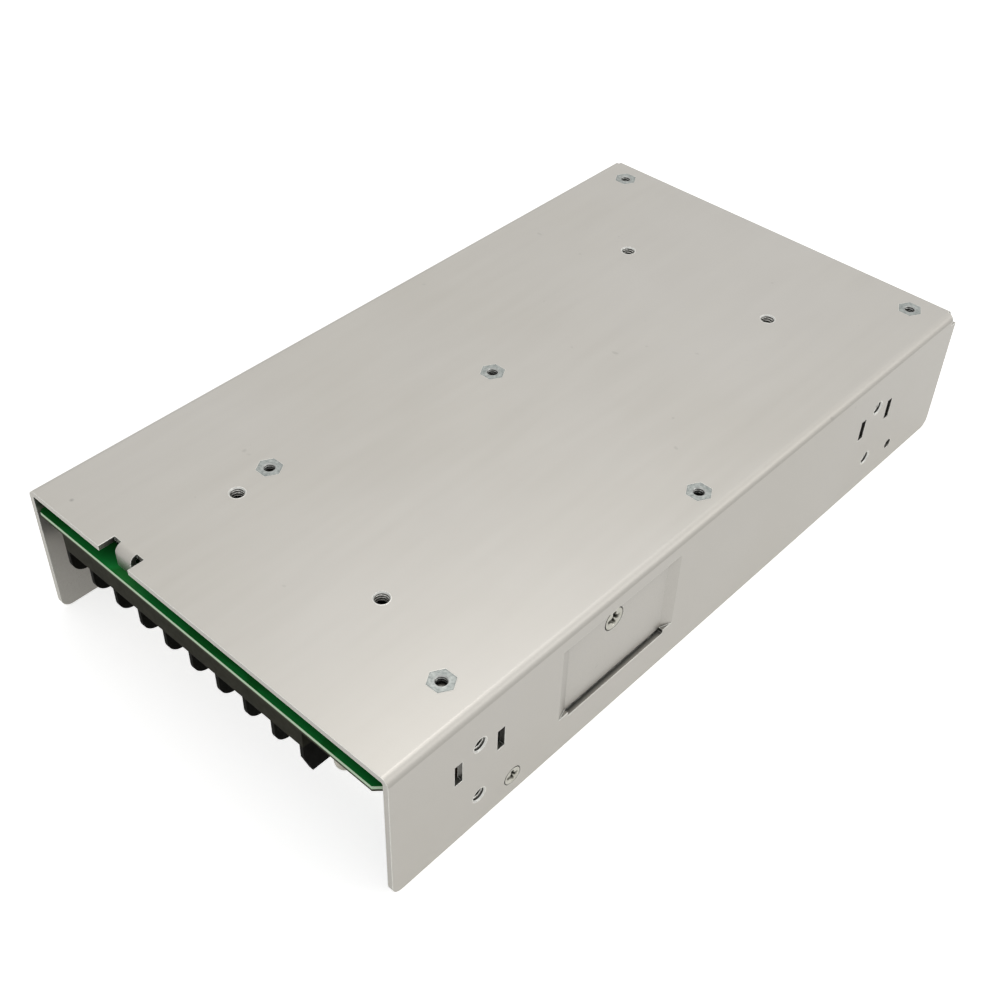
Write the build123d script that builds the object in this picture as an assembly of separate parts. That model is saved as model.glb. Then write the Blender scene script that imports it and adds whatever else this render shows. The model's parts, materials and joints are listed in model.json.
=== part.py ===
from build123d import *
import math
import os

# Mesh case switching power supply, lying on its perforated cover with the base plate up.
# X runs across the case, Y from the terminal end to the fan end, Z up.
# The origin is the middle of the footprint, on the plane that the case lies on.
# Places along the case are distances from the terminal end, and along() turns one into a Y value.
# A spot gives the distance from the left or right flange and from the terminal end.
# Sizes are in millimetres.

# Case
case_length = 225.0
case_width = 124.0
case_height = 41.0
sheet = 1.5  # chassis sheet
bend_inside = 0.6  # inside radius of the chassis folds
corner_round = 3.0  # lower corners of the side flanges
relief_depth = 2.3  # relief cuts where the rear wall folds down
relief_height = 3.6
rear_wall_gap = 0.3  # between the rear wall and the cover

# Threaded mounting holes, drawn through the sheet
thread_r = 2.0  # M4
collar_wall = 0.9
collar_depth = 1.8
collar_sides = 12
plate_pitch_x = 50.0
plate_pitch_y = 150.0
plate_first = 34.0
side_pitch_y = 160.0
side_pitch_z = 18.0
side_first = 27.0
side_low = 10.0

# Slots beside the side holes
side_slot_width = 2.4
side_slot_height = 6.6
side_slot_offset = 6.7
side_slot_z = 24.0
far_hole_r = 1.5
far_hole_from_group = 13.2
far_hole_z = 7.3

# Notch in the plate with its bent earth tongue
notch_x = -28.1
notch_width = 11.2
notch_depth = 4.6
tongue_width = 5.8

# Panel pressed into each side flange
panel_middle = 75.2
panel_length = 36.0
panel_slope = 3.5
panel_depth = 1.2
panel_low = 11.8
panel_high = 34.2
panel_top_slope = 1.3
lance_gap = 1.2

# Rear vents
vent_count = 15
vent_pitch = 7.0
vent_width = 3.0
vent_height = 20.0
vent_middle_z = 21.0

# Main board
board_thick = 1.6
board_left_gap = 0.5
board_right_gap = 1.6
board_panel_gap = 0.3  # round the back of the left pressed panel
board_front_gap = 0.2
board_rear_gap = 3.5
board_left_corner = 0.8
board_right_corner = 2.0
standoff_height = 4.5
standoff_r = 2.7
standoff_hex = 6.0
board_screw_r = 1.5
standoff_rear = 8.5  # last row, from the far end
standoff_rear_left = 8.3  # from the left flange
standoff_rear_right = 9.3  # from the right flange
standoff_middle = 112.0
standoff_middle_x = -13.6
standoff_middle_right = 5.9
standoff_front_left = (34.0, 45.4)
standoff_front_right = (9.2, 26.1)
board_screw_head_r = 2.8  # hexagonal head, across corners
board_screw_head_height = 2.0
board_screw_short = 0.5  # thread stops this far under the plate

# Insulation sheet
film_thick = 0.3
film_front = 6.5
film_side_gap = 3.5
film_rear_gap = 5.0
film_hole_gap = 0.6  # round the standoffs

# Mesh cover
cover_sheet = 1.2
cover_gap = 0.2  # between the cover and the flanges
cover_front = 18.0
cover_bend_inside = 0.4
lip_clear = 0.3  # lip below the lanced edge of the pressed panel
lip_setback = 4.0
front_lip_height = 8.0
front_lip_inset = 5.0
lip_notch_gap = 1.2
mesh_hex = 7.0  # across flats
mesh_pitch = 9.2
mesh_first = 44.0
mesh_to_fan = 6.0  # solid strip between the field and the fan
mesh_half_width = 46.0

# Screws
screw_gap = 0.05  # thread to hole wall
cover_screw_r = 1.5
cover_screw_head_r = 2.75
cover_screw_length = 6.0
cover_screw_place = 38.2
cover_screw_z = 6.1
spreader_screw_r = 2.0
spreader_screw_head_r = 3.4
spreader_screw_place = 73.3
spreader_screw_down = 3.7  # from the top of the pressed panel
spreader_screw_short = 0.8  # thread stops this far inside the spreader
recess_depth = 0.9
thread_sides = 8  # the screws' threaded shanks are drawn as prisms inside the thread

# Terminal block
ways = 9
way_pitch = 9.5
block_middle = -8.9
block_setback = 1.0
block_depth = 15.6
block_floor = 6.9
barrier_thick = 1.2
barrier_height = 14.9
barrier_round = 4.0
end_height = 16.7
end_cut_back = 2.0
end_cut_down = 5.8
back_wall = 1.4
back_wall_height = 11.5
clamp_size = 7.4
clamp_thick = 1.0
contact_thick = 0.9
contact_width = 7.2
contact_front = 1.2
tail_width = 2.2
tail_thick = 0.9
terminal_screw_r = 1.75
terminal_head_r = 3.3
terminal_head_height = 2.6
terminal_screw_place = 8.6
terminal_screw_length = 6.0
well_size = 4.6  # square well under each screw
well_room = 0.5  # under the end of the screw

# Voltage trim pot and status lamp
pot_spot = (8.0, 9.5)  # from the right flange
pot_size = 9.5
pot_height = 6.0
pot_rotor_r = 2.4
pot_rotor_gap = 0.06
pot_rotor_depth = 2.0
pot_corner = 0.6
pot_slot_width = 0.7
pot_slot_depth = 0.7
pot_slot_reach = 0.8  # of the rotor radius
lamp_spot = (15.5, 3.6)  # from the right flange
lamp_r = 2.5
lamp_height = 6.4
lamp_rim = 0.4
lamp_rim_height = 1.0
lamp_dome_height = 1.6

# Fuse
fuse_spot = (7.3, 27.4)  # from the left flange
fuse_r = 2.6
fuse_length = 20.0
fuse_cap = 5.0
fuse_lift = 5.0
fuse_cap_wall = 0.2
clip_width = 7.0
clip_above = 1.0  # over the middle of the fuse
clip_inset = 0.5  # from each end of the cap

# Line side, its spots from the left flange
film_cap_spots = [(26.5, 28.0), (26.5, 61.0)]
film_cap_size = (26.0, 9.5, 18.0)
film_cap_edge = 0.8
choke_spots = [(18.5, 45.2), (27.5, 73.0)]
choke_cover_gap = 2.9  # between the windings and the cover
choke_ring = 5.5  # radial width of the core
choke_thick = 10.0
choke_wire = 1.3
choke_turns = 6
choke_base = 1.5
wire_gap = 0.15
saddle_cup = 0.5  # how far the saddle reaches round the core
saddle_half_angle = 18.0
winding_half_angle = 62.0
disc_cap_spots = [(48.5, 45.0), (48.5, 53.0)]
disc_cap_r = 4.5
thermistor_spot = (47.5, 36.0)
thermistor_r = 7.0
disc_thick = 4.0
disc_lift = 2.0
bridge_spot = (50.5, 61.0)
bridge_size = (20.0, 3.6, 15.0)
bridge_lift = 3.0
bridge_corner = 3.0
bridge_lead_pitch = 5.0
bulk_cap_spots = [(23.5, 92.0), (23.5, 115.0)]
bulk_cap_r = 11.0
bulk_cap_gap = 3.2  # between the cans and the cover

# Heat spreaders and what they cool
spreader_thick = 4.0
spreader_first = 53.0
spreader_end_gap = 4.3  # from the head of the board screw behind it
spreader_low = 13.0
pad_thick = 0.3
pad_inset = 1.0  # from each end of the spreader
pad_margin = 1.0  # above and below the devices
pad_hole_r = 4.0
device_width = 15.5
device_height = 18.0
device_thick = 5.0
device_lift = 3.5
device_inset = 10.0  # from each end of the spreader
lead_pitch = 3.6
lead_width = 1.2
lead_thick = 0.8

# Transformer
core_place = (4.0, 88.0)
core_length = 42.0
core_width = 15.0
core_height = 28.0
core_leg = 6.5
core_middle_leg = 12.0
bobbin_flange = 1.4
bobbin_reach = 10.0
winding_reach = 8.2
winding_corner = 3.0
window_gap = 0.2  # between bobbin and core
winding_gap = 0.5  # between winding and outer legs
pin_count = 5
pin_pitch = 5.0
pin_size = 1.0

# Output side, its spots from the right flange
output_choke_spot = (24.5, 44.0)
output_choke_outer_r = 12.8
output_choke_inner_r = 6.8
output_choke_thick = 11.0
output_choke_wire = 1.6
output_choke_turns = 12
output_winding_half_angle = 146.0
output_cap_spots = [(56.5, 26.0), (40.5, 26.0), (24.5, 26.0), (20.5, 65.0), (20.5, 83.0)]
output_cap_r = 7.0
output_cap_height = 24.0

# Control board and small transformer
control_place = (12.0, 124.0)
control_size = (42.0, 1.6, 22.0)
chip_size = (10.0, 6.5, 2.6)
chip_offsets = (-12.0, 4.0)
coupler_spots = [(17.5, 116.0), (17.5, 126.0)]  # from the right flange
coupler_size = (6.5, 4.6, 3.5)
aux_spot = (16.5, 158.0)  # from the left flange
aux_size = (20.0, 18.0, 17.0)
header_spot = (20.5, 150.0)  # from the right flange
header_size = (7.5, 5.0, 7.0)
header_wall = 0.7
header_floor = 3.5

# Fan
fan_from_rear = 45.0
fan_size = 60.0
fan_height = 15.0
fan_flange = 3.0
fan_corner = 3.0
fan_rim = 1.7  # between the duct and the middle of each side
fan_wall = 1.4
fan_hole_inset = 5.0
fan_screw_r = 1.6
fan_screw_head_r = 2.8
fan_screw_length = 9.0
fan_base_r = 13.0
fan_base_thick = 2.0
fan_strut_width = 3.0
hub_r = 13.0
hub_wall = 1.0
hub_gap = 0.8
hub_top_gap = 0.6
bearing_r = 3.2
shaft_r = 1.5
shaft_gap = 0.05
stator_gap = 0.8
blade_count = 7
blade_gap = 0.7
blade_thick = 1.0
blade_chord = 15.0
blade_camber = 1.8
blade_pitch_hub = 50.0
blade_pitch_tip = 32.0
blade_overrun = 2.0  # drawn past the tip, then cut round

# Worked out from the sizes above
bend_outside = bend_inside + sheet
half_width = case_width / 2
inside_half = half_width - sheet
plate_under = case_height - sheet
board_top = plate_under - standoff_height
board_low = board_top - board_thick
board_left = board_left_gap - inside_half
board_right = inside_half - board_right_gap
panel_inner = half_width - panel_depth - sheet
cover_half = inside_half - cover_gap
lip_top = panel_low - lance_gap - lip_clear
cover_rear = case_length - sheet - rear_wall_gap
spreader_screw_z = panel_high - spreader_screw_down
fan_duct_r = fan_size / 2 - fan_rim
fan_hole_pitch = fan_size - 2 * fan_hole_inset
spreader_last = standoff_middle - board_screw_head_r - spreader_end_gap
device_places = [spreader_first + device_inset, spreader_last - device_inset]
fan_place = (0.0, case_length - fan_from_rear)
mesh_last = fan_place[1] - fan_size / 2 - mesh_to_fan
inside_room = board_low - cover_sheet
bulk_cap_height = inside_room - bulk_cap_gap
choke_outer_r = (inside_room - choke_base - 2 * choke_wire - wire_gap - choke_cover_gap) / 2
choke_inner_r = choke_outer_r - choke_ring


def from_left(spot):
    return (spot[0] - inside_half, spot[1])


def from_right(spot):
    return (inside_half - spot[0], spot[1])


standoff_places = [
    from_left((standoff_rear_left, case_length - standoff_rear)),
    from_right((standoff_rear_right, case_length - standoff_rear)),
    (standoff_middle_x, standoff_middle),
    from_right((standoff_middle_right, standoff_middle)),
    from_left(standoff_front_left),
    from_right(standoff_front_right),
]
pot_place = from_right(pot_spot)
lamp_place = from_right(lamp_spot)
fuse_place = from_left(fuse_spot)
film_cap_places = [from_left(spot) for spot in film_cap_spots]
choke_places = [from_left(spot) for spot in choke_spots]
disc_cap_places = [from_left(spot) for spot in disc_cap_spots]
thermistor_place = from_left(thermistor_spot)
bridge_place = from_left(bridge_spot)
bulk_cap_places = [from_left(spot) for spot in bulk_cap_spots]
output_choke_place = from_right(output_choke_spot)
output_cap_places = [from_right(spot) for spot in output_cap_spots]
coupler_places = [from_right(spot) for spot in coupler_spots]
aux_place = from_left(aux_spot)
header_place = from_right(header_spot)


def along(distance):
    return distance - case_length / 2


def ring(outer, inner, height):
    return Cylinder(outer, height) - Cylinder(inner, height)


# Prism round the z axis, its corners on the given radius
def prism(radius, sides, height):
    return extrude(RegularPolygon(radius, sides), height / 2, both=True)


# Stands a part on the underside of the board; the part is drawn upright on z = 0
def on_board(part, place):
    return Pos(place[0], along(place[1]), board_low) * Rot(180, 0, 0) * part


def upright(part, height):
    return Pos(0, 0, height / 2) * part


# The same part on the other side of the case
def other_side(part):
    return mirror(part, about=Plane.YZ)


# U section of a folded sheet, open towards z = 0 or z = top
def folded_section(half, top, thick, inside, flat_on_top):
    outer = Pos(0, top / 2) * Rectangle(2 * half, top)
    inner_middle = (top - thick) / 2 if flat_on_top else (top + thick) / 2
    inner = Pos(0, inner_middle) * Rectangle(2 * (half - thick), top - thick)
    folded = -1 if flat_on_top else 0
    outer = fillet(outer.vertices().group_by(Axis.Y)[folded], inside + thick)
    inner = fillet(inner.vertices().group_by(Axis.Y)[folded], inside)
    return outer - inner


# Screw with a flat countersunk head, its face at z = 0 and its thread towards -z
def countersunk_screw(head_r, thread_radius, length):
    cone_height = head_r - thread_radius
    head = Pos(0, 0, -cone_height / 2) * Cone(thread_radius, head_r, cone_height)
    return head + Pos(0, 0, -length / 2) * prism(thread_radius, thread_sides, length)


# Screw with a flat round head standing on z = 0 and its thread towards -z
def pan_screw(head_r, head_height, thread_radius, length):
    head = upright(Cylinder(head_r, head_height), head_height)
    return head + Pos(0, 0, -length / 2) * prism(thread_radius, thread_sides, length)


def cross_recess(head_r):
    arm = Box(1.2 * head_r, 0.3 * head_r, 2 * recess_depth)
    return arm + Rot(0, 0, 90) * arm


# Hole for a countersunk screw through a sheet, its wide end at z = 0, with room for the head
def countersunk_hole(head_r, thread_radius, depth):
    cone_height = head_r - thread_radius
    cone = Pos(0, 0, -cone_height / 2) * Cone(thread_radius + screw_gap, head_r + screw_gap, cone_height)
    return cone + Pos(0, 0, -depth / 2) * Cylinder(thread_radius + screw_gap, depth)


# Places of the threaded holes on one side flange
def side_hole_places():
    places = []
    for group in (side_first, side_first + side_pitch_y):
        for height in (side_low, side_low + side_pitch_z):
            places.append((along(group), height))
    return places


def plate_hole_places():
    places = []
    for distance in (plate_first, plate_first + plate_pitch_y):
        for x in (-plate_pitch_x / 2, plate_pitch_x / 2):
            places.append((x, along(distance)))
    return places


# Looks at the right flange from outside: local z points out of the case
def on_flange(distance, height, x=half_width):
    return Pos(x, along(distance), height) * Rot(0, 90, 0)


# Tapered block that presses the panel into the right flange
def panel_press():
    rim_height = panel_high + panel_top_slope - panel_low
    floor_height = panel_high - panel_low
    rim = Rectangle(rim_height, panel_length + 2 * panel_slope)
    floor = Rectangle(floor_height, panel_length)
    rim = on_flange(panel_middle, panel_low + rim_height / 2) * rim
    floor = on_flange(panel_middle, panel_low + floor_height / 2, half_width - panel_depth) * floor
    return loft([rim, floor], ruled=True)


def flange_cuts():
    wall = 2 * sheet
    cuts = []
    hole = Cylinder(thread_r, 4 * sheet + 2 * collar_depth)
    for y, height in side_hole_places():
        cuts.append(Pos(half_width, y, height) * Rot(0, 90, 0) * hole)
    for group in (side_first, side_first + side_pitch_y):
        for offset in (-side_slot_offset, side_slot_offset):
            slot = Box(side_slot_height, side_slot_width, wall)
            cuts.append(on_flange(group + offset, side_slot_z) * slot)
    far_hole = side_first + side_pitch_y + far_hole_from_group
    cuts.append(on_flange(far_hole, far_hole_z) * Cylinder(far_hole_r, 2 * wall))
    cover_hole = countersunk_hole(cover_screw_head_r, cover_screw_r, wall)
    cuts.append(on_flange(cover_screw_place, cover_screw_z) * cover_hole)
    floor_x = half_width - panel_depth
    spreader_hole = countersunk_hole(spreader_screw_head_r, spreader_screw_r, wall)
    cuts.append(on_flange(spreader_screw_place, spreader_screw_z, floor_x) * spreader_hole)
    lance = Box(lance_gap, panel_length, 2 * wall)
    cuts.append(on_flange(panel_middle, panel_low - lance_gap / 2) * lance)
    return cuts


def flange_collars():
    collars = []
    x = inside_half - collar_depth / 2
    for y, height in side_hole_places():
        collar = prism(thread_r + collar_wall, collar_sides, collar_depth)
        collars.append(Pos(x, y, height) * Rot(0, 90, 0) * collar)
    return collars


# Bent tongue that reaches from the back of the notch down to the board
def earth_tongue():
    fold_z = case_height - bend_outside
    fold = Circle(bend_outside) - Circle(bend_inside)
    quarter = Pos(-bend_outside / 2, bend_outside / 2) * Rectangle(bend_outside, bend_outside)
    leg_length = fold_z - board_top
    leg = Pos(-bend_inside - sheet / 2, -leg_length / 2) * Rectangle(sheet, leg_length)
    profile = fold & quarter
    profile = profile + leg
    tongue = extrude(Plane.YZ * profile, tongue_width / 2, both=True)
    return Pos(notch_x, along(notch_depth), fold_z) * tongue


def rear_vents():
    slot = Box(vent_width, 4 * sheet, vent_height)
    first = -(vent_count - 1) / 2 * vent_pitch
    y = case_length / 2
    return [Pos(first + index * vent_pitch, y, vent_middle_z) * slot for index in range(vent_count)]


# Base plate, side flanges and rear wall, folded from one sheet
def chassis():
    section = folded_section(half_width, case_height, sheet, bend_inside, True)
    body = extrude(Plane.XZ * section, case_length / 2, both=True)
    body = fillet(body.edges().filter_by(Axis.X).group_by(Axis.Z)[0], corner_round)
    wall_half = half_width - bend_outside
    wall_low = cover_sheet + rear_wall_gap
    wall_middle = (wall_low + case_height) / 2
    wall = Pos(0, (case_length - sheet) / 2, wall_middle) * Box(2 * wall_half, sheet, case_height - wall_low)
    body = body + wall
    relief = Box(2 * (half_width - wall_half), 2 * relief_depth, 2 * relief_height)
    relief = Pos(half_width, case_length / 2, case_height) * relief
    body = body - relief - other_side(relief)
    rear_edges = body.edges().filter_by(Axis.X).filter_by(lambda edge: edge.length > wall_half)
    body = fillet(rear_edges.sort_by(lambda edge: edge.center().Y + edge.center().Z)[-1], bend_outside)
    notch = Pos(notch_x, -case_length / 2, case_height) * Box(notch_width, 2 * notch_depth, 4 * sheet)
    body = body - notch + earth_tongue()
    press = panel_press()
    added = [Pos(-sheet, 0, 0) * press] + flange_collars()
    cuts = [press] + flange_cuts()
    collar = prism(thread_r + collar_wall, collar_sides, collar_depth)
    hole = Cylinder(thread_r, 4 * collar_depth)
    plate_cuts = []
    for x, y in plate_hole_places():
        added.append(Pos(x, y, plate_under - collar_depth / 2) * collar)
        plate_cuts.append(Pos(x, y, plate_under) * hole)
    hexagon = extrude(RegularPolygon(standoff_hex / 2, 6, major_radius=False), 2 * sheet, both=True)
    for x, distance in standoff_places:
        plate_cuts.append(Pos(x, along(distance), case_height) * hexagon)
    body = body + added + [other_side(part) for part in added[: 1 + len(side_hole_places())]]
    return body - cuts - [other_side(part) for part in cuts] - plate_cuts - rear_vents()


# Places of the hexagonal openings over the board and over the fan
def mesh_places():
    row_pitch = mesh_pitch * math.sqrt(3) / 2
    rows = int((cover_rear - mesh_first) / row_pitch)
    columns = int(mesh_half_width / mesh_pitch)
    places = []
    for row in range(rows):
        distance = mesh_first + row * row_pitch
        shift = mesh_pitch / 2 * (row % 2) + mesh_pitch / 4
        for column in range(-columns - 1, columns + 1):
            x = column * mesh_pitch + shift
            over_fan = math.hypot(x - fan_place[0], distance - fan_place[1]) < fan_duct_r - mesh_hex / 2
            over_board = distance < mesh_last and abs(x) < mesh_half_width
            if over_fan or over_board:
                places.append((x, along(distance)))
    return places


def mesh_openings():
    cell = RegularPolygon(mesh_hex / 2, 6, major_radius=False, rotation=30)
    opening = extrude(cell, 2 * cover_sheet, both=True)
    return [Pos(x, y) * opening for x, y in mesh_places()]


# Perforated cover with side lips inside the flanges and a lip behind the terminals
def mesh_cover():
    section = folded_section(cover_half, lip_top, cover_sheet, cover_bend_inside, False)
    middle = along((cover_front + cover_rear) / 2)
    length = cover_rear - cover_front
    body = Pos(0, middle, 0) * extrude(Plane.XZ * section, length / 2, both=True)
    for distance in (cover_front, cover_rear):
        end = Pos(cover_half, along(distance), lip_top / 2 + cover_sheet)
        end = end * Box(4 * cover_sheet, 2 * lip_setback, lip_top)
        body = body - end - other_side(end)
    lip_half = cover_half - front_lip_inset
    lip_y = along(cover_front) + cover_sheet / 2
    body = body + Pos(0, lip_y, front_lip_height / 2) * Box(2 * lip_half, cover_sheet, front_lip_height)
    collar_r = thread_r + collar_wall + lip_notch_gap
    for y, height in side_hole_places():
        if height - collar_r < lip_top:
            gap = Pos(cover_half, y, height) * Box(4 * cover_sheet, 2 * collar_r, 2 * collar_r)
            body = body - gap - other_side(gap)
    thread = Cylinder(cover_screw_r + screw_gap, 8 * cover_sheet)
    thread = on_flange(cover_screw_place, cover_screw_z) * thread
    body = body - thread - other_side(thread)
    fan_hole = Rot(180, 0, 0) * countersunk_hole(fan_screw_head_r, fan_screw_r, 2 * cover_sheet)
    return body - [place * fan_hole for place in fan_corners()] - mesh_openings()


def fan_corners():
    reach = fan_hole_pitch / 2
    places = []
    for x in (-reach, reach):
        for y in (-reach, reach):
            places.append(Pos(fan_place[0] + x, along(fan_place[1]) + y, 0))
    return places


# Film on the solder side of the board, cut out round the standoffs
def insulation_sheet():
    rear = case_length - sheet - film_rear_gap
    length = rear - film_front
    z = board_top + film_thick / 2
    film = Box(2 * (inside_half - film_side_gap), length, film_thick)
    film = Pos(0, along((film_front + rear) / 2), z) * film
    hole = 2 * (standoff_r + film_hole_gap)
    cutter = Box(hole, hole, 4 * film_thick)
    return film - [Pos(x, along(distance), z) * cutter for x, distance in standoff_places]


def board_standoffs():
    head = extrude(RegularPolygon(standoff_hex / 2, 6, major_radius=False), sheet)
    post = Pos(0, 0, -standoff_height / 2) * prism(standoff_r, 6, standoff_height)
    bore = Cylinder(board_screw_r + screw_gap, 2 * (sheet + standoff_height))
    standoff = head + post - bore
    return Compound([Pos(x, along(distance), plate_under) * standoff for x, distance in standoff_places])


def board_screws():
    length = board_thick + standoff_height - board_screw_short
    head = upright(prism(board_screw_head_r, 6, board_screw_head_height), board_screw_head_height)
    screw = head + Pos(0, 0, -length / 2) * prism(board_screw_r, thread_sides, length)
    return Compound([on_board(screw, place) for place in standoff_places])


# Board set over to the left, where it is cut back round the pressed panel
def main_board():
    rear = case_length - sheet - board_rear_gap
    length = rear - board_front_gap
    outline = Rectangle(board_right - board_left, length)
    outline = chamfer(outline.vertices().group_by(Axis.X)[0], board_left_corner)
    outline = chamfer(outline.vertices().group_by(Axis.X)[-1], board_right_corner)
    middle = (board_left + board_right) / 2
    board = Pos(middle, along((board_front_gap + rear) / 2), board_low) * extrude(outline, board_thick)
    cut_width = inside_half - panel_inner + board_panel_gap
    cut_length = panel_length + 2 * (panel_slope + board_panel_gap)
    cut = Box(2 * cut_width, cut_length, 4 * board_thick)
    board = board - Pos(-inside_half, along(panel_middle), board_low) * cut
    holes = [
        Pos(x, along(distance), board_low) * Cylinder(board_screw_r + 2 * screw_gap, 4 * board_thick)
        for x, distance in standoff_places
    ]
    return board - holes


# Barrier wall between two ways: a plate with both top corners rounded
def barrier():
    outline = Pos(block_depth / 2, barrier_height / 2) * Rectangle(block_depth, barrier_height)
    outline = fillet(outline.vertices().group_by(Axis.Y)[-1], barrier_round)
    return extrude(Plane.YZ * outline, barrier_thick / 2, both=True)


# Taller wall at the right end of the block, with both top corners cut steeply
def end_wall():
    shoulder = end_height - end_cut_down
    left = [(0, 0), (0, shoulder), (end_cut_back, end_height)]
    right = [(block_depth - y, z) for y, z in reversed(left)]
    outline = make_face(Polyline(*left, *right, close=True))
    return extrude(Plane.YZ * outline, barrier_thick / 2, both=True)


def way_middles():
    first = -(ways - 1) / 2 * way_pitch
    return [first + index * way_pitch for index in range(ways)]


# Places a part of the terminal block, drawn upright with y = 0 at the block's front face
def in_block(part):
    front = along(block_setback)
    return Pos(block_middle, front, board_low) * mirror(part, about=Plane.XY)


def terminal_block():
    half = ways * way_pitch / 2
    base = Pos(0, block_depth / 2, block_floor / 2) * Box(2 * half, block_depth, block_floor)
    back_y = block_depth - back_wall / 2
    back = Pos(0, back_y, back_wall_height / 2) * Box(2 * half, back_wall, back_wall_height)
    body = base + back
    for middle in way_middles():
        body = body + Pos(middle - way_pitch / 2, 0, 0) * barrier()
    body = body + Pos(half, 0, 0) * end_wall()
    well_depth = terminal_screw_length - contact_thick - clamp_thick + well_room
    well = Box(well_size, well_size, 2 * well_depth)
    slot = Box(tail_width + 2 * screw_gap, tail_thick + 2 * screw_gap, 2 * block_floor)
    for middle in way_middles():
        body = body - Pos(middle, terminal_screw_place, block_floor) * well
        body = body - Pos(middle, tail_y(), block_floor) * slot
    return in_block(body)


def tail_y():
    return block_depth - back_wall - tail_thick


# Contact plates, slotted from the front for the screw, each with a tail down to the board
def terminal_contacts():
    length = tail_y() + tail_thick / 2 - contact_front
    plate = Pos(0, contact_front + length / 2, block_floor + contact_thick / 2)
    plate = plate * Box(contact_width, length, contact_thick)
    slot_length = terminal_screw_place + terminal_screw_r + screw_gap
    slot = Box(2 * (terminal_screw_r + screw_gap), slot_length, 4 * contact_thick)
    plate = plate - Pos(0, slot_length / 2, block_floor) * slot
    tail = Pos(0, tail_y(), block_floor / 2) * Box(tail_width, tail_thick, block_floor)
    return Compound([in_block(Pos(middle, 0, 0) * (plate + tail)) for middle in way_middles()])


def terminal_clamps():
    z = block_floor + contact_thick + clamp_thick / 2
    clamp = Box(clamp_size, clamp_size, clamp_thick)
    hole = 2 * (terminal_screw_r + screw_gap)
    clamp = clamp - Box(hole, hole, 2 * clamp_thick)
    return Compound([in_block(Pos(middle, terminal_screw_place, z) * clamp) for middle in way_middles()])


def terminal_screws():
    z = block_floor + contact_thick + clamp_thick
    screw = pan_screw(terminal_head_r, terminal_head_height, terminal_screw_r, terminal_screw_length)
    return Compound([in_block(Pos(middle, terminal_screw_place, z) * screw) for middle in way_middles()])


def trim_pot_body():
    body = upright(Box(pot_size, pot_size, pot_height), pot_height)
    body = chamfer(body.edges().filter_by(Axis.Z), pot_corner)
    seat = Cylinder(pot_rotor_r + pot_rotor_gap, 2 * (pot_rotor_depth + pot_rotor_gap))
    return on_board(body - Pos(0, 0, pot_height) * seat, pot_place)


def trim_pot_rotor():
    rotor = Cylinder(pot_rotor_r, pot_rotor_depth)
    reach = 2 * pot_slot_reach * pot_rotor_r
    slot = Pos(0, 0, pot_rotor_depth / 2) * Box(reach, pot_slot_width, 2 * pot_slot_depth)
    rotor = rotor - slot - Rot(0, 0, 90) * slot
    return on_board(Pos(0, 0, pot_height - pot_rotor_depth / 2) * rotor, pot_place)


def status_lamp():
    body = upright(Cylinder(lamp_r, lamp_height), lamp_height)
    body = chamfer(body.edges().group_by(Axis.Z)[-1], lamp_dome_height, lamp_r / 2)
    rim = upright(Cylinder(lamp_r + lamp_rim, lamp_rim_height), lamp_rim_height)
    return on_board(body + rim, lamp_place)


def fuse_body():
    tube = Rot(90, 0, 0) * Cylinder(fuse_r - fuse_cap_wall, fuse_length)
    cap = Rot(90, 0, 0) * Cylinder(fuse_r, fuse_cap)
    reach = (fuse_length - fuse_cap) / 2
    body = tube + Pos(0, reach, 0) * cap + Pos(0, -reach, 0) * cap
    return on_board(Pos(0, 0, fuse_lift) * body, fuse_place)


def fuse_clips():
    height = fuse_lift + clip_above
    clip = upright(Box(clip_width, fuse_cap - 2 * clip_inset, height), height)
    clip = clip - Pos(0, 0, fuse_lift) * Rot(90, 0, 0) * Cylinder(fuse_r + screw_gap, fuse_length)
    reach = (fuse_length - fuse_cap) / 2
    x, distance = fuse_place
    return Compound([on_board(clip, (x, distance + side * reach)) for side in (-1, 1)])


def film_capacitors():
    width, depth, height = film_cap_size
    body = upright(Box(width, depth, height), height)
    body = chamfer(body.edges().group_by(Axis.Z)[-1], film_cap_edge)
    return Compound([on_board(body, place) for place in film_cap_places])


# Ring core standing on its rim, its axis along y and its middle at z = 0
def standing_core(outer, inner, thick):
    return Rot(90, 0, 0) * ring(outer, inner, thick)


# Turns of square wire round a standing core, each loop a flat frame set in its own radial plane
def core_turns(outer, inner, thick, wire, angles):
    radial = outer - inner + 2 * wire_gap
    depth = thick + 2 * wire_gap
    frame = Box(radial + 2 * wire, depth + 2 * wire, wire) - Box(radial, depth, 2 * wire)
    frame = Pos((outer + inner) / 2, 0, 0) * frame
    return [Rot(0, angle, 0) * frame for angle in angles]


def choke_angles():
    step = 2 * winding_half_angle / (choke_turns - 1)
    angles = []
    for side in (0, 180):
        angles += [side - winding_half_angle + index * step for index in range(choke_turns)]
    return angles


def choke_lift():
    return choke_base + choke_wire + choke_outer_r


def line_choke_cores():
    core = standing_core(choke_outer_r, choke_inner_r, choke_thick)
    return Compound([on_board(Pos(0, 0, choke_lift()) * core, place) for place in choke_places])


def line_choke_windings():
    turns = core_turns(choke_outer_r, choke_inner_r, choke_thick, choke_wire, choke_angles())
    parts = []
    for place in choke_places:
        parts += [on_board(Pos(0, 0, choke_lift()) * turn, place) for turn in turns]
    return Compound(parts)


# Plastic saddle that holds a ring core off the board, between the two halves of its winding
def core_saddle(outer, thick, lift):
    width = 2 * outer * math.sin(math.radians(saddle_half_angle))
    height = lift - outer * math.cos(math.radians(saddle_half_angle)) + saddle_cup
    saddle = upright(Box(width, thick, height), height)
    return saddle - Pos(0, 0, lift) * Rot(90, 0, 0) * Cylinder(outer, 2 * thick)


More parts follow.
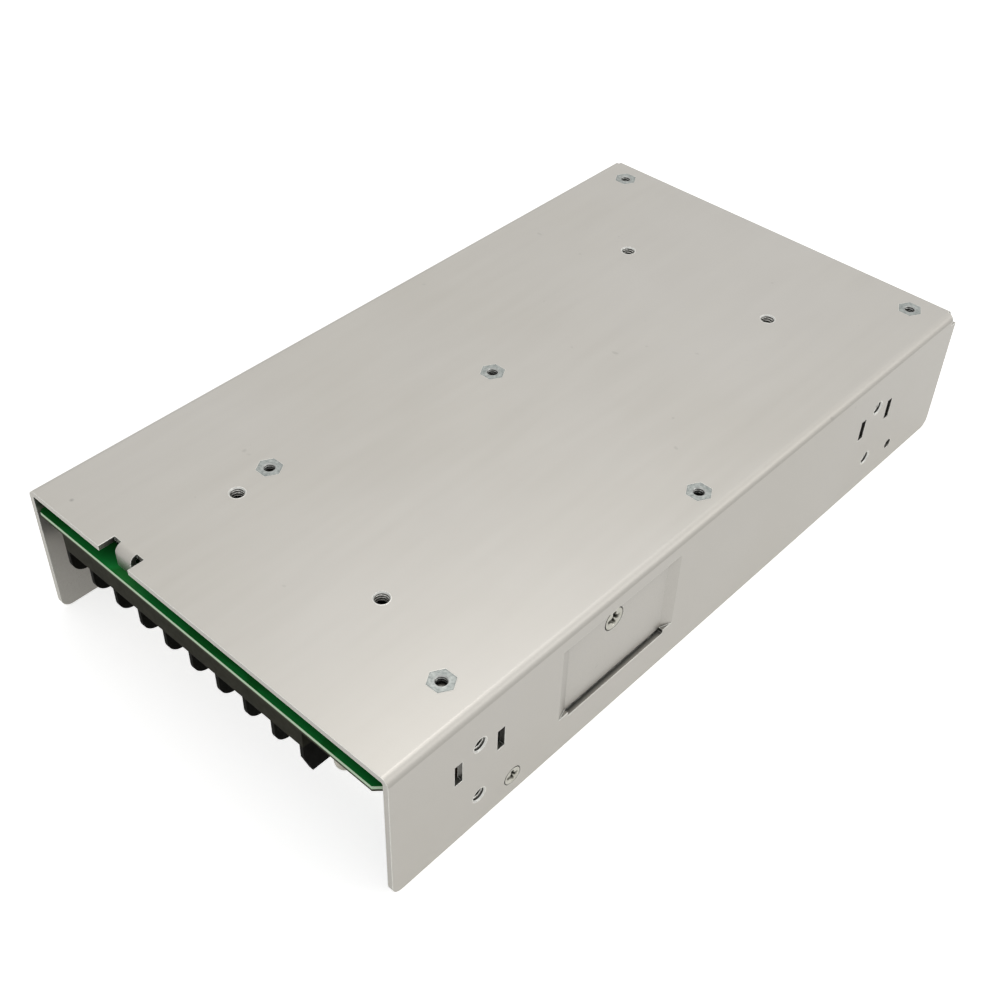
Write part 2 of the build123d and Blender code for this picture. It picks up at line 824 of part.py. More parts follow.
def choke_saddles():
    line = core_saddle(choke_outer_r, choke_thick, choke_lift())
    slim = core_saddle(output_choke_outer_r, output_choke_thick, output_choke_lift())
    parts = [on_board(line, place) for place in choke_places]
    parts.append(on_board(slim, output_choke_place))
    return Compound(parts)


def output_choke_lift():
    return choke_base + output_choke_wire + output_choke_outer_r


def output_choke_core():
    core = standing_core(output_choke_outer_r, output_choke_inner_r, output_choke_thick)
    return on_board(Pos(0, 0, output_choke_lift()) * core, output_choke_place)


def output_choke_winding():
    step = 2 * output_winding_half_angle / (output_choke_turns - 1)
    first = -90.0 - output_winding_half_angle
    angles = [first + index * step for index in range(output_choke_turns)]
    sizes = (output_choke_outer_r, output_choke_inner_r, output_choke_thick, output_choke_wire)
    lift = Pos(0, 0, output_choke_lift())
    return Compound([on_board(lift * turn, output_choke_place) for turn in core_turns(*sizes, angles)])


# Disc standing on edge with two leads
def disc_part(radius):
    disc = Pos(0, 0, disc_lift + radius) * Rot(90, 0, 0) * Cylinder(radius, disc_thick)
    lead = upright(Box(lead_thick, lead_thick, disc_lift + radius), disc_lift + radius)
    return disc + Pos(radius / 2, 0, 0) * lead + Pos(-radius / 2, 0, 0) * lead


def y_capacitors():
    return Compound([on_board(disc_part(disc_cap_r), place) for place in disc_cap_places])


def inrush_thermistor():
    return on_board(disc_part(thermistor_r), thermistor_place)


# Flat package with one cut corner, standing on four leads
def bridge_rectifier():
    width, depth, height = bridge_size
    body = upright(Box(width, depth, height), height)
    corner = body.edges().filter_by(Axis.Y).group_by(Axis.Z)[-1].sort_by(Axis.X)[0]
    body = Pos(0, 0, bridge_lift) * chamfer(corner, bridge_corner)
    for index in range(4):
        x = (index - 1.5) * bridge_lead_pitch
        body = body + Pos(x, 0, bridge_lift / 2) * Box(lead_width, lead_thick, bridge_lift)
    return on_board(body, bridge_place)


def bulk_capacitors():
    can = upright(Cylinder(bulk_cap_r, bulk_cap_height), bulk_cap_height)
    return Compound([on_board(can, place) for place in bulk_cap_places])


def output_capacitors():
    can = upright(Cylinder(output_cap_r, output_cap_height), output_cap_height)
    return Compound([on_board(can, place) for place in output_cap_places])


# Aluminium bar clamped behind the pressed panel of the right flange
def heat_spreader():
    length = spreader_last - spreader_first
    height = board_low - spreader_low
    x = panel_inner - spreader_thick / 2
    bar = Pos(x, along((spreader_first + spreader_last) / 2), spreader_low + height / 2)
    bar = bar * Box(spreader_thick, length, height)
    hole = Cylinder(spreader_screw_r + screw_gap, 4 * spreader_thick)
    return bar - on_flange(spreader_screw_place, spreader_screw_z, x) * hole


def spreader_face():
    return panel_inner - spreader_thick


def insulator_pad():
    x = spreader_face() - pad_thick / 2
    length = spreader_last - spreader_first - 2 * pad_inset
    height = device_height + 2 * pad_margin
    pad = Pos(x, along((spreader_first + spreader_last) / 2), device_middle_z())
    pad = pad * Box(pad_thick, length, height)
    return pad - on_flange(spreader_screw_place, spreader_screw_z, x) * Cylinder(pad_hole_r, 4 * pad_thick)


def device_middle_z():
    return board_low - device_lift - device_height / 2


# Power devices with three leads each, flat against the pad
def power_devices():
    x = spreader_face() - pad_thick - device_thick / 2
    parts = []
    for distance in device_places:
        body = Pos(x, along(distance), device_middle_z()) * Box(device_thick, device_width, device_height)
        for index in (-1, 0, 1):
            lead_y = along(distance) + index * lead_pitch
            lead = Pos(x, lead_y, board_low - device_lift / 2) * Box(lead_thick, lead_width, device_lift)
            body = body + lead
        parts.append(body)
    return Compound(parts)


def spreader_screw():
    length = sheet + spreader_thick - spreader_screw_short
    screw = countersunk_screw(spreader_screw_head_r, spreader_screw_r, length)
    screw = screw - cross_recess(spreader_screw_head_r)
    return on_flange(spreader_screw_place, spreader_screw_z, half_width - panel_depth) * screw


def both_sides(part):
    return Compound([part, other_side(part)])


def cover_screws():
    screw = countersunk_screw(cover_screw_head_r, cover_screw_r, cover_screw_length)
    screw = screw - cross_recess(cover_screw_head_r)
    return both_sides(on_flange(cover_screw_place, cover_screw_z) * screw)


# Pair of E cores: two yokes, two outer legs and the middle leg
def transformer_core():
    outer = Box(core_length, core_width, core_height)
    window_width = (core_length - 2 * core_leg - core_middle_leg) / 2
    window_height = core_height - 2 * core_leg
    window = Box(window_width, 2 * core_width, window_height)
    shift = (core_middle_leg + window_width) / 2
    core = outer - Pos(shift, 0, 0) * window - Pos(-shift, 0, 0) * window
    return on_board(upright(core, core_height), core_place)


# Coil former: a sleeve round the middle leg with a flange at each end
def transformer_bobbin():
    reach = 2 * bobbin_reach
    width = core_middle_leg + 2 * bobbin_flange
    window_height = core_height - 2 * core_leg
    sleeve = Box(width, core_width + 2 * bobbin_flange, window_height)
    flange_width = core_length - 2 * core_leg - 2 * window_gap
    flange_box = Box(flange_width, core_width + reach, bobbin_flange)
    top = Pos(0, 0, (window_height - bobbin_flange) / 2) * flange_box
    bottom = Pos(0, 0, -(window_height - bobbin_flange) / 2) * flange_box
    body = sleeve + top + bottom
    body = body - Box(core_middle_leg + window_gap, core_width + window_gap, 2 * window_height)
    pin = Box(pin_size, pin_size, core_leg)
    pin_z = -(window_height + core_leg) / 2
    pin_y = (core_width + reach) / 2 - pin_size
    for side in (-1, 1):
        for index in range(pin_count):
            x = (index - (pin_count - 1) / 2) * pin_pitch
            body = body + Pos(x, side * pin_y, pin_z) * pin
    return on_board(upright(body, core_height), core_place)


def transformer_winding():
    window_height = core_height - 2 * core_leg - 2 * bobbin_flange
    inner_width = core_middle_leg + 2 * bobbin_flange
    inner_depth = core_width + 2 * bobbin_flange
    wound = Rectangle(core_length - 2 * core_leg - 2 * winding_gap, core_width + 2 * winding_reach)
    wound = fillet(wound.vertices(), winding_corner)
    wound = wound - Rectangle(inner_width, inner_depth)
    winding = extrude(wound, window_height / 2, both=True)
    return on_board(upright(winding, core_height), core_place)


def control_board():
    width, thick, height = control_size
    return on_board(upright(Box(width, thick, height), height), control_place)


def control_chips():
    width, depth, thick = chip_size
    chip_y = (control_size[1] + thick) / 2
    parts = []
    for offset in chip_offsets:
        chip = Pos(offset, chip_y, control_size[2] / 2) * Box(width, thick, depth)
        parts.append(on_board(chip, control_place))
    return Compound(parts)


def optocouplers():
    width, depth, height = coupler_size
    body = upright(Box(width, depth, height), height)
    return Compound([on_board(body, place) for place in coupler_places])


def auxiliary_transformer():
    width, depth, height = aux_size
    core = upright(Box(width, depth / 2, height), height)
    winding = Pos(0, 0, height / 2) * Box(0.6 * width, depth, 0.6 * height)
    return on_board(core + winding, aux_place)


def fan_header():
    width, depth, height = header_size
    body = upright(Box(width, depth, height), height)
    hollow = Box(width - 2 * header_wall, depth - 2 * header_wall, 2 * (height - header_floor))
    return on_board(body - Pos(0, 0, height) * hollow, header_place)


# Places a part of the fan, drawn with z = 0 at the cover's inner face
def in_fan(part):
    return Pos(fan_place[0], along(fan_place[1]), cover_sheet) * part


def fan_frame():
    square = Rectangle(fan_size, fan_size)
    square = fillet(square.vertices(), fan_corner)
    flange = extrude(square, fan_flange)
    tube = upright(Cylinder(fan_duct_r + fan_wall, fan_height), fan_height)
    body = tube + flange + Pos(0, 0, fan_height - fan_flange) * flange
    body = body - upright(Cylinder(fan_duct_r, fan_height), fan_height)
    base = upright(Cylinder(fan_base_r, fan_base_thick), fan_base_thick)
    strut_length = 2 * (fan_duct_r + fan_wall / 2)
    strut = upright(Box(strut_length, fan_strut_width, fan_base_thick), fan_base_thick)
    bearing_height = fan_height - hub_top_gap - 2 * hub_wall - hub_gap
    bearing = upright(Cylinder(bearing_r, bearing_height), bearing_height)
    body = body + base + Rot(0, 0, 45) * strut + Rot(0, 0, 135) * strut + bearing
    body = body - upright(Cylinder(shaft_r + shaft_gap, 3 * fan_height), fan_height)
    reach = fan_hole_pitch / 2
    hole = extrude(RegularPolygon(fan_screw_r + screw_gap, thread_sides, major_radius=False), 2 * fan_height)
    for x in (-reach, reach):
        for y in (-reach, reach):
            body = body - Pos(x, y, -fan_height / 2) * hole
    return in_fan(body)


def fan_stator():
    low = fan_base_thick
    high = fan_height - hub_top_gap - 2 * hub_wall - 2 * hub_gap
    outer = hub_r - hub_wall - stator_gap
    coil = ring(outer, bearing_r, high - low)
    return in_fan(Pos(0, 0, (low + high) / 2) * coil)


# Curved blade section at one radius, its chord tilted by the pitch angle
def blade_section(radius, pitch, low, high):
    half = blade_chord / 2
    upper = ThreePointArc((-half, 0), (0, blade_camber), (half, 0))
    lower = ThreePointArc((half, 0), (0, blade_camber - blade_thick), (-half, 0))
    section = make_face(upper + lower)
    plane = Plane(origin=(radius, 0, (low + high) / 2), x_dir=(0, 1, 0), z_dir=(1, 0, 0))
    return plane * Rot(0, 0, pitch) * section


def fan_rotor():
    low = fan_base_thick + hub_gap
    high = fan_height - hub_top_gap
    cup = Pos(0, 0, (low + high) / 2) * Cylinder(hub_r, high - low)
    cup = chamfer(cup.edges().group_by(Axis.Z)[-1], hub_wall)
    hollow_top = high - 2 * hub_wall
    cup = cup - Pos(0, 0, (low + hollow_top) / 2) * Cylinder(hub_r - hub_wall, hollow_top - low)
    shaft_low = fan_base_thick / 2
    shaft = Pos(0, 0, (shaft_low + high - hub_wall) / 2) * Cylinder(shaft_r, high - hub_wall - shaft_low)
    tip = fan_duct_r - blade_gap
    blade = loft([
        blade_section(hub_r - hub_wall / 2, blade_pitch_hub, low, high),
        blade_section(tip + blade_overrun, blade_pitch_tip, low, high),
    ])
    slab = Pos(0, 0, (low + high) / 2) * ring(tip, hub_r - hub_wall / 2, high - low)
    blade = blade & slab
    rotor = cup + shaft
    for index in range(blade_count):
        rotor = rotor + Rot(0, 0, index * 360 / blade_count) * blade
    return in_fan(rotor)


def fan_screws():
    screw = Rot(180, 0, 0) * countersunk_screw(fan_screw_head_r, fan_screw_r, fan_screw_length)
    return Compound([place * screw for place in fan_corners()])


nodes = {
    "chassis": chassis(),
    "mesh_cover": mesh_cover(),
    "insulation_sheet": insulation_sheet(),
    "board_standoffs": board_standoffs(),
    "board_screws": board_screws(),
    "main_board": main_board(),
    "terminal_block": terminal_block(),
    "terminal_contacts": terminal_contacts(),
    "terminal_clamps": terminal_clamps(),
    "terminal_screws": terminal_screws(),
    "trim_pot_body": trim_pot_body(),
    "trim_pot_rotor": trim_pot_rotor(),
    "status_lamp": status_lamp(),
    "fuse_body": fuse_body(),
    "fuse_clips": fuse_clips(),
    "line_capacitors": film_capacitors(),
    "line_choke_cores": line_choke_cores(),
    "line_choke_windings": line_choke_windings(),
    "choke_saddles": choke_saddles(),
    "y_capacitors": y_capacitors(),
    "inrush_thermistor": inrush_thermistor(),
    "bridge_rectifier": bridge_rectifier(),
    "bulk_capacitors": bulk_capacitors(),
    "switch_heat_spreader": other_side(heat_spreader()),
    "switch_insulator": other_side(insulator_pad()),
    "switch_transistors": other_side(power_devices()),
    "output_heat_spreader": heat_spreader(),
    "output_insulator": insulator_pad(),
    "output_rectifiers": power_devices(),
    "spreader_screws": both_sides(spreader_screw()),
    "transformer_core": transformer_core(),
    "transformer_bobbin": transformer_bobbin(),
    "transformer_winding": transformer_winding(),
    "output_choke_core": output_choke_core(),
    "output_choke_winding": output_choke_winding(),
    "output_capacitors": output_capacitors(),
    "control_board": control_board(),
    "control_chips": control_chips(),
    "optocouplers": optocouplers(),
    "auxiliary_transformer": auxiliary_transformer(),
    "fan_header": fan_header(),
    "fan_frame": fan_frame(),
    "fan_stator": fan_stator(),
    "fan_rotor": fan_rotor(),
    "fan_screws": fan_screws(),
    "cover_screws": cover_screws(),
}

os.makedirs("parts", exist_ok=True)
for name, part in nodes.items():
    export_step(part, f"parts/{name}.step")
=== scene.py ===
import json
import math
import bmesh
import bpy
import numpy as np
from mathutils import Matrix, Vector


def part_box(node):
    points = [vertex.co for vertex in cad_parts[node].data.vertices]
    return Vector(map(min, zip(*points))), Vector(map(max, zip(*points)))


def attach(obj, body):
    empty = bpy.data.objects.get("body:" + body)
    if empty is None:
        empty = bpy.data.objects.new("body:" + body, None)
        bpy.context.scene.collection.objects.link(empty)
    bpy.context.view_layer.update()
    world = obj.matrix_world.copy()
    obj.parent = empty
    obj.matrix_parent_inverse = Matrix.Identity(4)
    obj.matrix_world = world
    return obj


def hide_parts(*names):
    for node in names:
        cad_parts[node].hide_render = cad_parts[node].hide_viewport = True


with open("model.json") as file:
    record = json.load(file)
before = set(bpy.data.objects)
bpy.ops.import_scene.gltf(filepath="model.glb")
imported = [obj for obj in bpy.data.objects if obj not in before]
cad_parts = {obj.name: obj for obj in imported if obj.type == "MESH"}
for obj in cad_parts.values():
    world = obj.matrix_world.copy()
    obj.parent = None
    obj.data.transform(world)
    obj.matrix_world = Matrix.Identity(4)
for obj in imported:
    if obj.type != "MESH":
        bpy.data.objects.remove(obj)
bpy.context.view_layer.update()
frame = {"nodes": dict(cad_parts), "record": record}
nodes = frame["nodes"]
mounts = {mount["name"]: mount for mount in frame["record"]["mounts"]}
mm = 0.001
print("frame loaded,", len(nodes), "nodes")

# Places as in the part: x across the case, distance along it from the terminal end, z up
caseLow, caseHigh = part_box("chassis")
plateTop = caseHigh[2]
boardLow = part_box("main_board")[0][2]
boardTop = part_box("main_board")[1][2]
insideHalf = caseHigh[0] - 1.5 * mm
towardsCover = (0, 0, -1)


def along(distance):
    return caseLow[1] + distance * mm


def fromLeft(spot):
    # spot on the board: distances from the left flange and from the terminal end
    return (spot[0] * mm - insideHalf, along(spot[1]), boardLow)


def fromRight(spot):
    return (insideHalf - spot[0] * mm, along(spot[1]), boardLow)


# Helpers for worked-out surfaces


def gridFaces(rows, columns, wrapRows=False):
    # quads of a rows x columns grid of points, closed round its columns
    row = np.arange(rows if wrapRows else rows - 1)[:, None]
    column = np.arange(columns)[None, :]
    nextRow = (row + 1) % rows
    nextColumn = (column + 1) % columns
    corners = [row * columns + column, row * columns + nextColumn,
               nextRow * columns + nextColumn, nextRow * columns + column]
    return np.stack(corners, axis=-1).reshape(-1, 4)


def turnTo(axis):
    # rotation that takes local +z to the axis
    return np.array(Vector((0, 0, 1)).rotation_difference(Vector(axis)).to_matrix())


def copyTo(points, faces, places):
    # repeats one shape at (origin, axis) places, as one mesh
    allPoints = []
    allFaces = []
    for index, (origin, axis) in enumerate(places):
        allPoints.append(points @ turnTo(axis).T + np.array(origin))
        allFaces.append(faces + index * len(points))
    return np.concatenate(allPoints), np.concatenate(allFaces)


def join(shapes):
    # several (points, faces) shapes as one
    allPoints = []
    allFaces = []
    start = 0
    for points, faces in shapes:
        allPoints.append(points)
        allFaces.append(faces + start)
        start += len(points)
    return np.concatenate(allPoints), np.concatenate(allFaces)


def lathe(profile, columns=48):
    # turns a profile of (radius, height) rows round z
    turn = np.linspace(0, 2 * math.pi, columns, endpoint=False)[None, :]
    radius = profile[:, 0:1]
    level = profile[:, 1:2]
    points = np.stack([radius * np.cos(turn), radius * np.sin(turn), level + 0 * turn], axis=-1)
    return points.reshape(-1, 3), gridFaces(len(profile), columns)


def roundedBox(half, corner, insets, levels, perCorner=6):
    # rings of a rounded rectangle: each ring is the outline drawn in by its inset, at its level
    arc = np.linspace(0, math.pi / 2, perCorner)
    turn = np.concatenate([arc + quarter * math.pi / 2 for quarter in range(4)])
    signs = np.repeat([(1, 1), (-1, 1), (-1, -1), (1, -1)], perCorner, axis=0)
    inset = np.array(insets)[:, None]
    radius = np.maximum(corner - inset, 0.05 * corner)
    x = signs[None, :, 0] * (half[0] - inset - radius) + radius * np.cos(turn)
    y = signs[None, :, 1] * (half[1] - inset - radius) + radius * np.sin(turn)
    z = np.array(levels)[:, None] + 0 * x
    return np.stack([x, y, z], axis=-1).reshape(-1, 3), gridFaces(len(insets), len(turn))


def softBlock(size, corner, edge):
    # closed block on z = 0 with rounded upright corners and a rounded rim at both ends
    arc = np.linspace(0, math.pi / 2, 5)
    rise = edge * (1 - np.cos(arc))
    draw = edge * (1 - np.sin(arc))
    middle = min(size[0], size[1]) / 2 - 0.02 * mm
    insets = np.concatenate([[middle, edge], draw, draw[::-1], [edge, middle]])
    levels = np.concatenate([[0, 0], rise, size[2] - rise[::-1], [size[2], size[2]]])
    return roundedBox((size[0] / 2, size[1] / 2), corner, insets, levels)


def tube(path, outward, radius, sides=8):
    # round wire along a path; outward is any direction that leaves the path sideways at each point
    ahead = np.gradient(path, axis=0)
    ahead /= np.linalg.norm(ahead, axis=1)[:, None]
    side = np.cross(ahead, outward)
    side /= np.linalg.norm(side, axis=1)[:, None]
    up = np.cross(side, ahead)
    turn = np.linspace(0, 2 * math.pi, sides, endpoint=False)[None, :, None]
    ring = path[:, None, :] + radius * (np.cos(turn) * up[:, None, :] + np.sin(turn) * side[:, None, :])
    return ring.reshape(-1, 3), gridFaces(len(path), sides)


def addPiece(name, points, faces, materials, replaced=(), body="case", materialOf=None):
    mesh = bpy.data.meshes.new(name)
    mesh.from_pydata(points.tolist(), [], faces.tolist())
    for material in materials:
        mesh.materials.append(material)
    if materialOf is not None:
        mesh.polygons.foreach_set("material_index", materialOf.astype(np.int32))
    work = bmesh.new()
    work.from_mesh(mesh)
    bmesh.ops.remove_doubles(work, verts=work.verts, dist=1e-7)
    bmesh.ops.holes_fill(work, edges=work.edges)
    bmesh.ops.recalc_face_normals(work, faces=work.faces)
    work.to_mesh(mesh)
    work.free()
    mesh.polygons.foreach_set("use_smooth", np.ones(len(mesh.polygons), dtype=bool))
    mesh.set_sharp_from_angle(angle=math.radians(42))
    piece = bpy.data.objects.new(name, mesh)
    bpy.context.collection.objects.link(piece)
    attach(piece, body)
    if replaced:
        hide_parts(*replaced)
    return piece


# Materials


def startMaterial(name):
    material = bpy.data.materials.new(name)
    material.use_nodes = True
    tree = material.node_tree
    return material, tree, tree.nodes["Principled BSDF"]


def objectPlace(tree):
    return tree.nodes.new("ShaderNodeTexCoord").outputs["Object"]


def objectNoise(tree, scale, detail=3.0, stretch=(1, 1, 1)):
    # noise on Object coordinates, in repeats per metre
    mapping = tree.nodes.new("ShaderNodeMapping")
    mapping.inputs["Scale"].default_value = stretch
    noise = tree.nodes.new("ShaderNodeTexNoise")
    noise.inputs["Scale"].default_value = scale
    noise.inputs["Detail"].default_value = detail
    tree.links.new(objectPlace(tree), mapping.inputs["Vector"])
    tree.links.new(mapping.outputs["Vector"], noise.inputs["Vector"])
    return noise.outputs["Fac"]


def spread(tree, factor, low, high, fromLow=0.3, fromHigh=0.7):
    remap = tree.nodes.new("ShaderNodeMapRange")
    remap.inputs["From Min"].default_value = fromLow
    remap.inputs["From Max"].default_value = fromHigh
    remap.inputs["To Min"].default_value = low
    remap.inputs["To Max"].default_value = high
    tree.links.new(factor, remap.inputs["Value"])
    return remap.outputs["Result"]


def maths(tree, operation, first, second=None):
    node = tree.nodes.new("ShaderNodeMath")
    node.operation = operation
    for socket, value in zip(node.inputs, (first, second)):
        if isinstance(value, float):
            socket.default_value = value
        elif value is not None:
            tree.links.new(value, socket)
    return node.outputs["Value"]


def blendColours(tree, factor, first, second):
    mix = tree.nodes.new("ShaderNodeMix")
    mix.data_type = "RGBA"
    tree.links.new(factor, mix.inputs["Factor"])
    for socket, colour in ((mix.inputs["A"], first), (mix.inputs["B"], second)):
        if isinstance(colour, tuple):
            socket.default_value = (*colour, 1)
        else:
            tree.links.new(colour, socket)
    return mix.outputs["Result"]


def softEdge(tree, radius):
    # normal rounded over sharp edges
    bevel = tree.nodes.new("ShaderNodeBevel")
    bevel.samples = 4
    bevel.inputs["Radius"].default_value = radius
    return bevel.outputs["Normal"]


def sharpEdgeMask(tree, radius):
    # 0 on flats, 1 along sharp edges, where the rounded normal leaves the true one
    meet = tree.nodes.new("ShaderNodeVectorMath")
    meet.operation = "DOT_PRODUCT"
    tree.links.new(softEdge(tree, radius), meet.inputs[0])
    tree.links.new(tree.nodes.new("ShaderNodeNewGeometry").outputs["Normal"], meet.inputs[1])
    return spread(tree, meet.outputs["Value"], 1.0, 0.0, 0.80, 0.985)


def openness(tree, reach, closed, opened, local=True):
    # 1 on open faces, 0 far into holes and corners, within the reach in metres; the mask by which shade is
    # painted into colours
    cover = tree.nodes.new("ShaderNodeAmbientOcclusion")
    cover.samples = 5
    cover.only_local = local
    cover.inputs["Distance"].default_value = reach
    return spread(tree, cover.outputs["AO"], 0.0, 1.0, closed, opened)


def grainBump(tree, shader, factor, height, edge):
    bump = tree.nodes.new("ShaderNodeBump")
    bump.inputs["Distance"].default_value = height
    bump.inputs["Strength"].default_value = 1.0
    tree.links.new(factor, bump.inputs["Height"])
    if edge:
        tree.links.new(softEdge(tree, edge), bump.inputs["Normal"])
    tree.links.new(bump.outputs["Normal"], shader.inputs["Normal"])


def darker(colour, share):
    return tuple(value * share for value in colour)


def plainSurface(name, look):
    # mottled colour and gloss with a fine grain, with painted shade in its corners and recesses, for one
    # moulded or machined finish
    material, tree, shader = startMaterial(name)
    stain = spread(tree, objectNoise(tree, look["stainScale"], 4.0), 0.0, 1.0)
    colour = blendColours(tree, stain, look["colour"], look["stain"])
    # painted shade: the colour darkens in corners, recesses and between parts, where the surface is closed in
    openFace = openness(tree, look.get("reach", 0.012), look.get("closed", 0.15), look.get("opened", 0.85),
                        local=False)
    colour = blendColours(tree, openFace, darker(look["colour"], look.get("deepShade", 0.25)), colour)
    # painted shade: the colour turns to a darker shade colour below a level, on the terminal block's barriers
    if "below" in look:
        place = tree.nodes.new("ShaderNodeSeparateXYZ")
        tree.links.new(objectPlace(tree), place.inputs["Vector"])
        level = look["belowLevel"]
        above = spread(tree, place.outputs["Z"], 0.0, 1.0, level - 0.3 * mm, level + 0.3 * mm)
        colour = blendColours(tree, above, look["below"], colour)
    # painted shade: a darker rim colour along sharp edges, for the seam round the standoff's hex
    if "rim" in look:
        colour = blendColours(tree, sharpEdgeMask(tree, look["rimShadeWidth"]), colour, look["rim"])
    tree.links.new(colour, shader.inputs["Base Color"])
    gloss = objectNoise(tree, look["stainScale"] * 2.3, 2.0)
    rough = look["roughness"]
    tree.links.new(spread(tree, gloss, rough - 0.05, rough + 0.06), shader.inputs["Roughness"])
    shader.inputs["Metallic"].default_value = look.get("metallic", 0.0)
    shader.inputs["Specular IOR Level"].default_value = look.get("specular", 0.5)
    shader.inputs["Transmission Weight"].default_value = look.get("clear", 0.0)
    grain = objectNoise(tree, look["grain"], 2.0, look.get("stretch", (1, 1, 1)))
    grainBump(tree, shader, grain, look["grainHeight"], look.get("edge", 0.0))
    return material


def sheetMetal(name, look):
    # plated sheet: cloudy zinc, faint rolling streaks along the case, rare dark specks, one punch mark,
    # a rougher fold with painted shade on its lower part, painted shade inside the case and painted
    # highlights on cut edges
    material, tree, shader = startMaterial(name)
    cloud = spread(tree, objectNoise(tree, look["cloudScale"], 4.0), 0.0, 1.0)
    streak = spread(tree, objectNoise(tree, look["streakScale"], 3.0, look["streakStretch"]), 0.0, 1.0)
    colour = blendColours(tree, cloud, look["colour"], look["cloud"])
    streakPart = spread(tree, streak, 0.0, look["streakShare"], 0.0, 1.0)
    colour = blendColours(tree, streakPart, colour, look["streak"])
    speck = spread(tree, objectNoise(tree, look["speckScale"], 1.0), 0.0, look["speckShare"], 0.78, 0.82)
    colour = blendColours(tree, speck, colour, look["speck"])
    fromMark = tree.nodes.new("ShaderNodeVectorMath")
    fromMark.operation = "DISTANCE"
    fromMark.inputs[1].default_value = look["mark"]
    tree.links.new(objectPlace(tree), fromMark.inputs[0])
    mark = spread(tree, fromMark.outputs["Value"], look["markShare"], 0.0, 0.2 * look["markSize"],
                  look["markSize"])
    colour = blendColours(tree, mark, colour, look["speck"])
    normal = tree.nodes.new("ShaderNodeSeparateXYZ")
    tree.links.new(tree.nodes.new("ShaderNodeNewGeometry").outputs["Normal"], normal.inputs["Vector"])
    upwards = normal.outputs["Z"]
    # painted shade: a darker band on the lower part of the fold, next to the side
    lowFoldShade = maths(tree, "SUBTRACT", spread(tree, upwards, 1.0, 0.0, 0.24, 0.71),
                    spread(tree, upwards, 1.0, 0.0, 0.01, 0.06))
    colour = blendColours(tree, maths(tree, "MULTIPLY", lowFoldShade, look["foldShadeShare"]), colour, look["foldShadeColour"])
    # painted shade: the colour turns to the dark inside colour where the case closes round it; faces turned
    # up are spared, as if lit from above
    openFace = openness(tree, look["insideShadeReach"], look["insideShadeClosed"], look["insideShadeOpen"])
    upFacingLit = spread(tree, upwards, 0.0, look["upFacingLit"], 0.5, 0.8)
    colour = blendColours(tree, maths(tree, "MAXIMUM", openFace, upFacingLit), look["inside"], colour)
    # painted highlight: the near white cut colour along sharp edges
    colour = blendColours(tree, sharpEdgeMask(tree, look["edgeHighlightWidth"]), colour, look["cut"])
    tree.links.new(colour, shader.inputs["Base Color"])
    shader.inputs["Metallic"].default_value = look["metallic"]
    rough = look["roughness"]
    flatRough = spread(tree, streak, rough - look["roughSpread"], rough + look["roughSpread"], 0.0, 1.0)
    onFold = maths(tree, "SUBTRACT", spread(tree, upwards, 1.0, 0.0, 0.99, 0.9998),
                   spread(tree, upwards, 1.0, 0.0, 0.06, 0.24))
    extra = maths(tree, "MULTIPLY", onFold, look["foldRough"])
    tree.links.new(maths(tree, "ADD", flatRough, extra), shader.inputs["Roughness"])
    grain = objectNoise(tree, look["grain"], 2.0)
    grainBump(tree, shader, grain, look["grainHeight"], look["edge"])
    return material


zincLook = {
    "colour": (0.475, 0.455, 0.415), "cloud": (0.50, 0.482, 0.45), "cloudScale": 14.0,
    "streak": (0.53, 0.515, 0.48), "streakScale": 60.0, "streakStretch": (6.0, 0.5, 6.0), "streakShare": 0.25,
    "speck": (0.30, 0.29, 0.27), "speckScale": 260.0, "speckShare": 0.3,
    "mark": (-51.1 * mm, -107.6 * mm, 41.0 * mm), "markSize": 0.7 * mm, "markShare": 0.75,
    # cut: colour of the painted highlight along sharp edges
    "cut": (0.86, 0.87, 0.82), "edgeHighlightWidth": 0.32 * mm,
    "foldRough": 0.10, "foldShadeShare": 0.42, "foldShadeColour": (0.33, 0.315, 0.285),
    # inside: colour of the painted shade inside the case
    "inside": (0.04, 0.04, 0.034), "insideShadeReach": 0.12, "insideShadeClosed": 0.48, "insideShadeOpen": 0.95,
    "upFacingLit": 0.7,
    "metallic": 0.9, "roughness": 0.40, "roughSpread": 0.02,
    "grain": 2600.0, "grainHeight": 0.00001, "edge": 0.00025,
}
coverLook = dict(zincLook, colour=(0.52, 0.51, 0.48), cloud=(0.56, 0.55, 0.525), roughness=0.36,
                 insideShadeClosed=0.30, upFacingLit=0.0)
zinc = sheetMetal("zincPlatedSheet", zincLook)
coverZinc = sheetMetal("coverSheet", coverLook)

boardLook = {
    "mask": (0.012, 0.225, 0.038), "copper": (0.014, 0.32, 0.062), "deepShade": (0.005, 0.065, 0.009),
    "edgeHighlight": (0.68, 0.88, 0.64), "edgeDark": (0.060, 0.056, 0.036), "edgeSplit": boardTop - 0.95 * mm,
    "traceScale": 42.0, "traceWidth": 0.06, "roughness": 0.36, "relief": 0.00004, "reach": 0.009,
    "specular": 0.1,
}


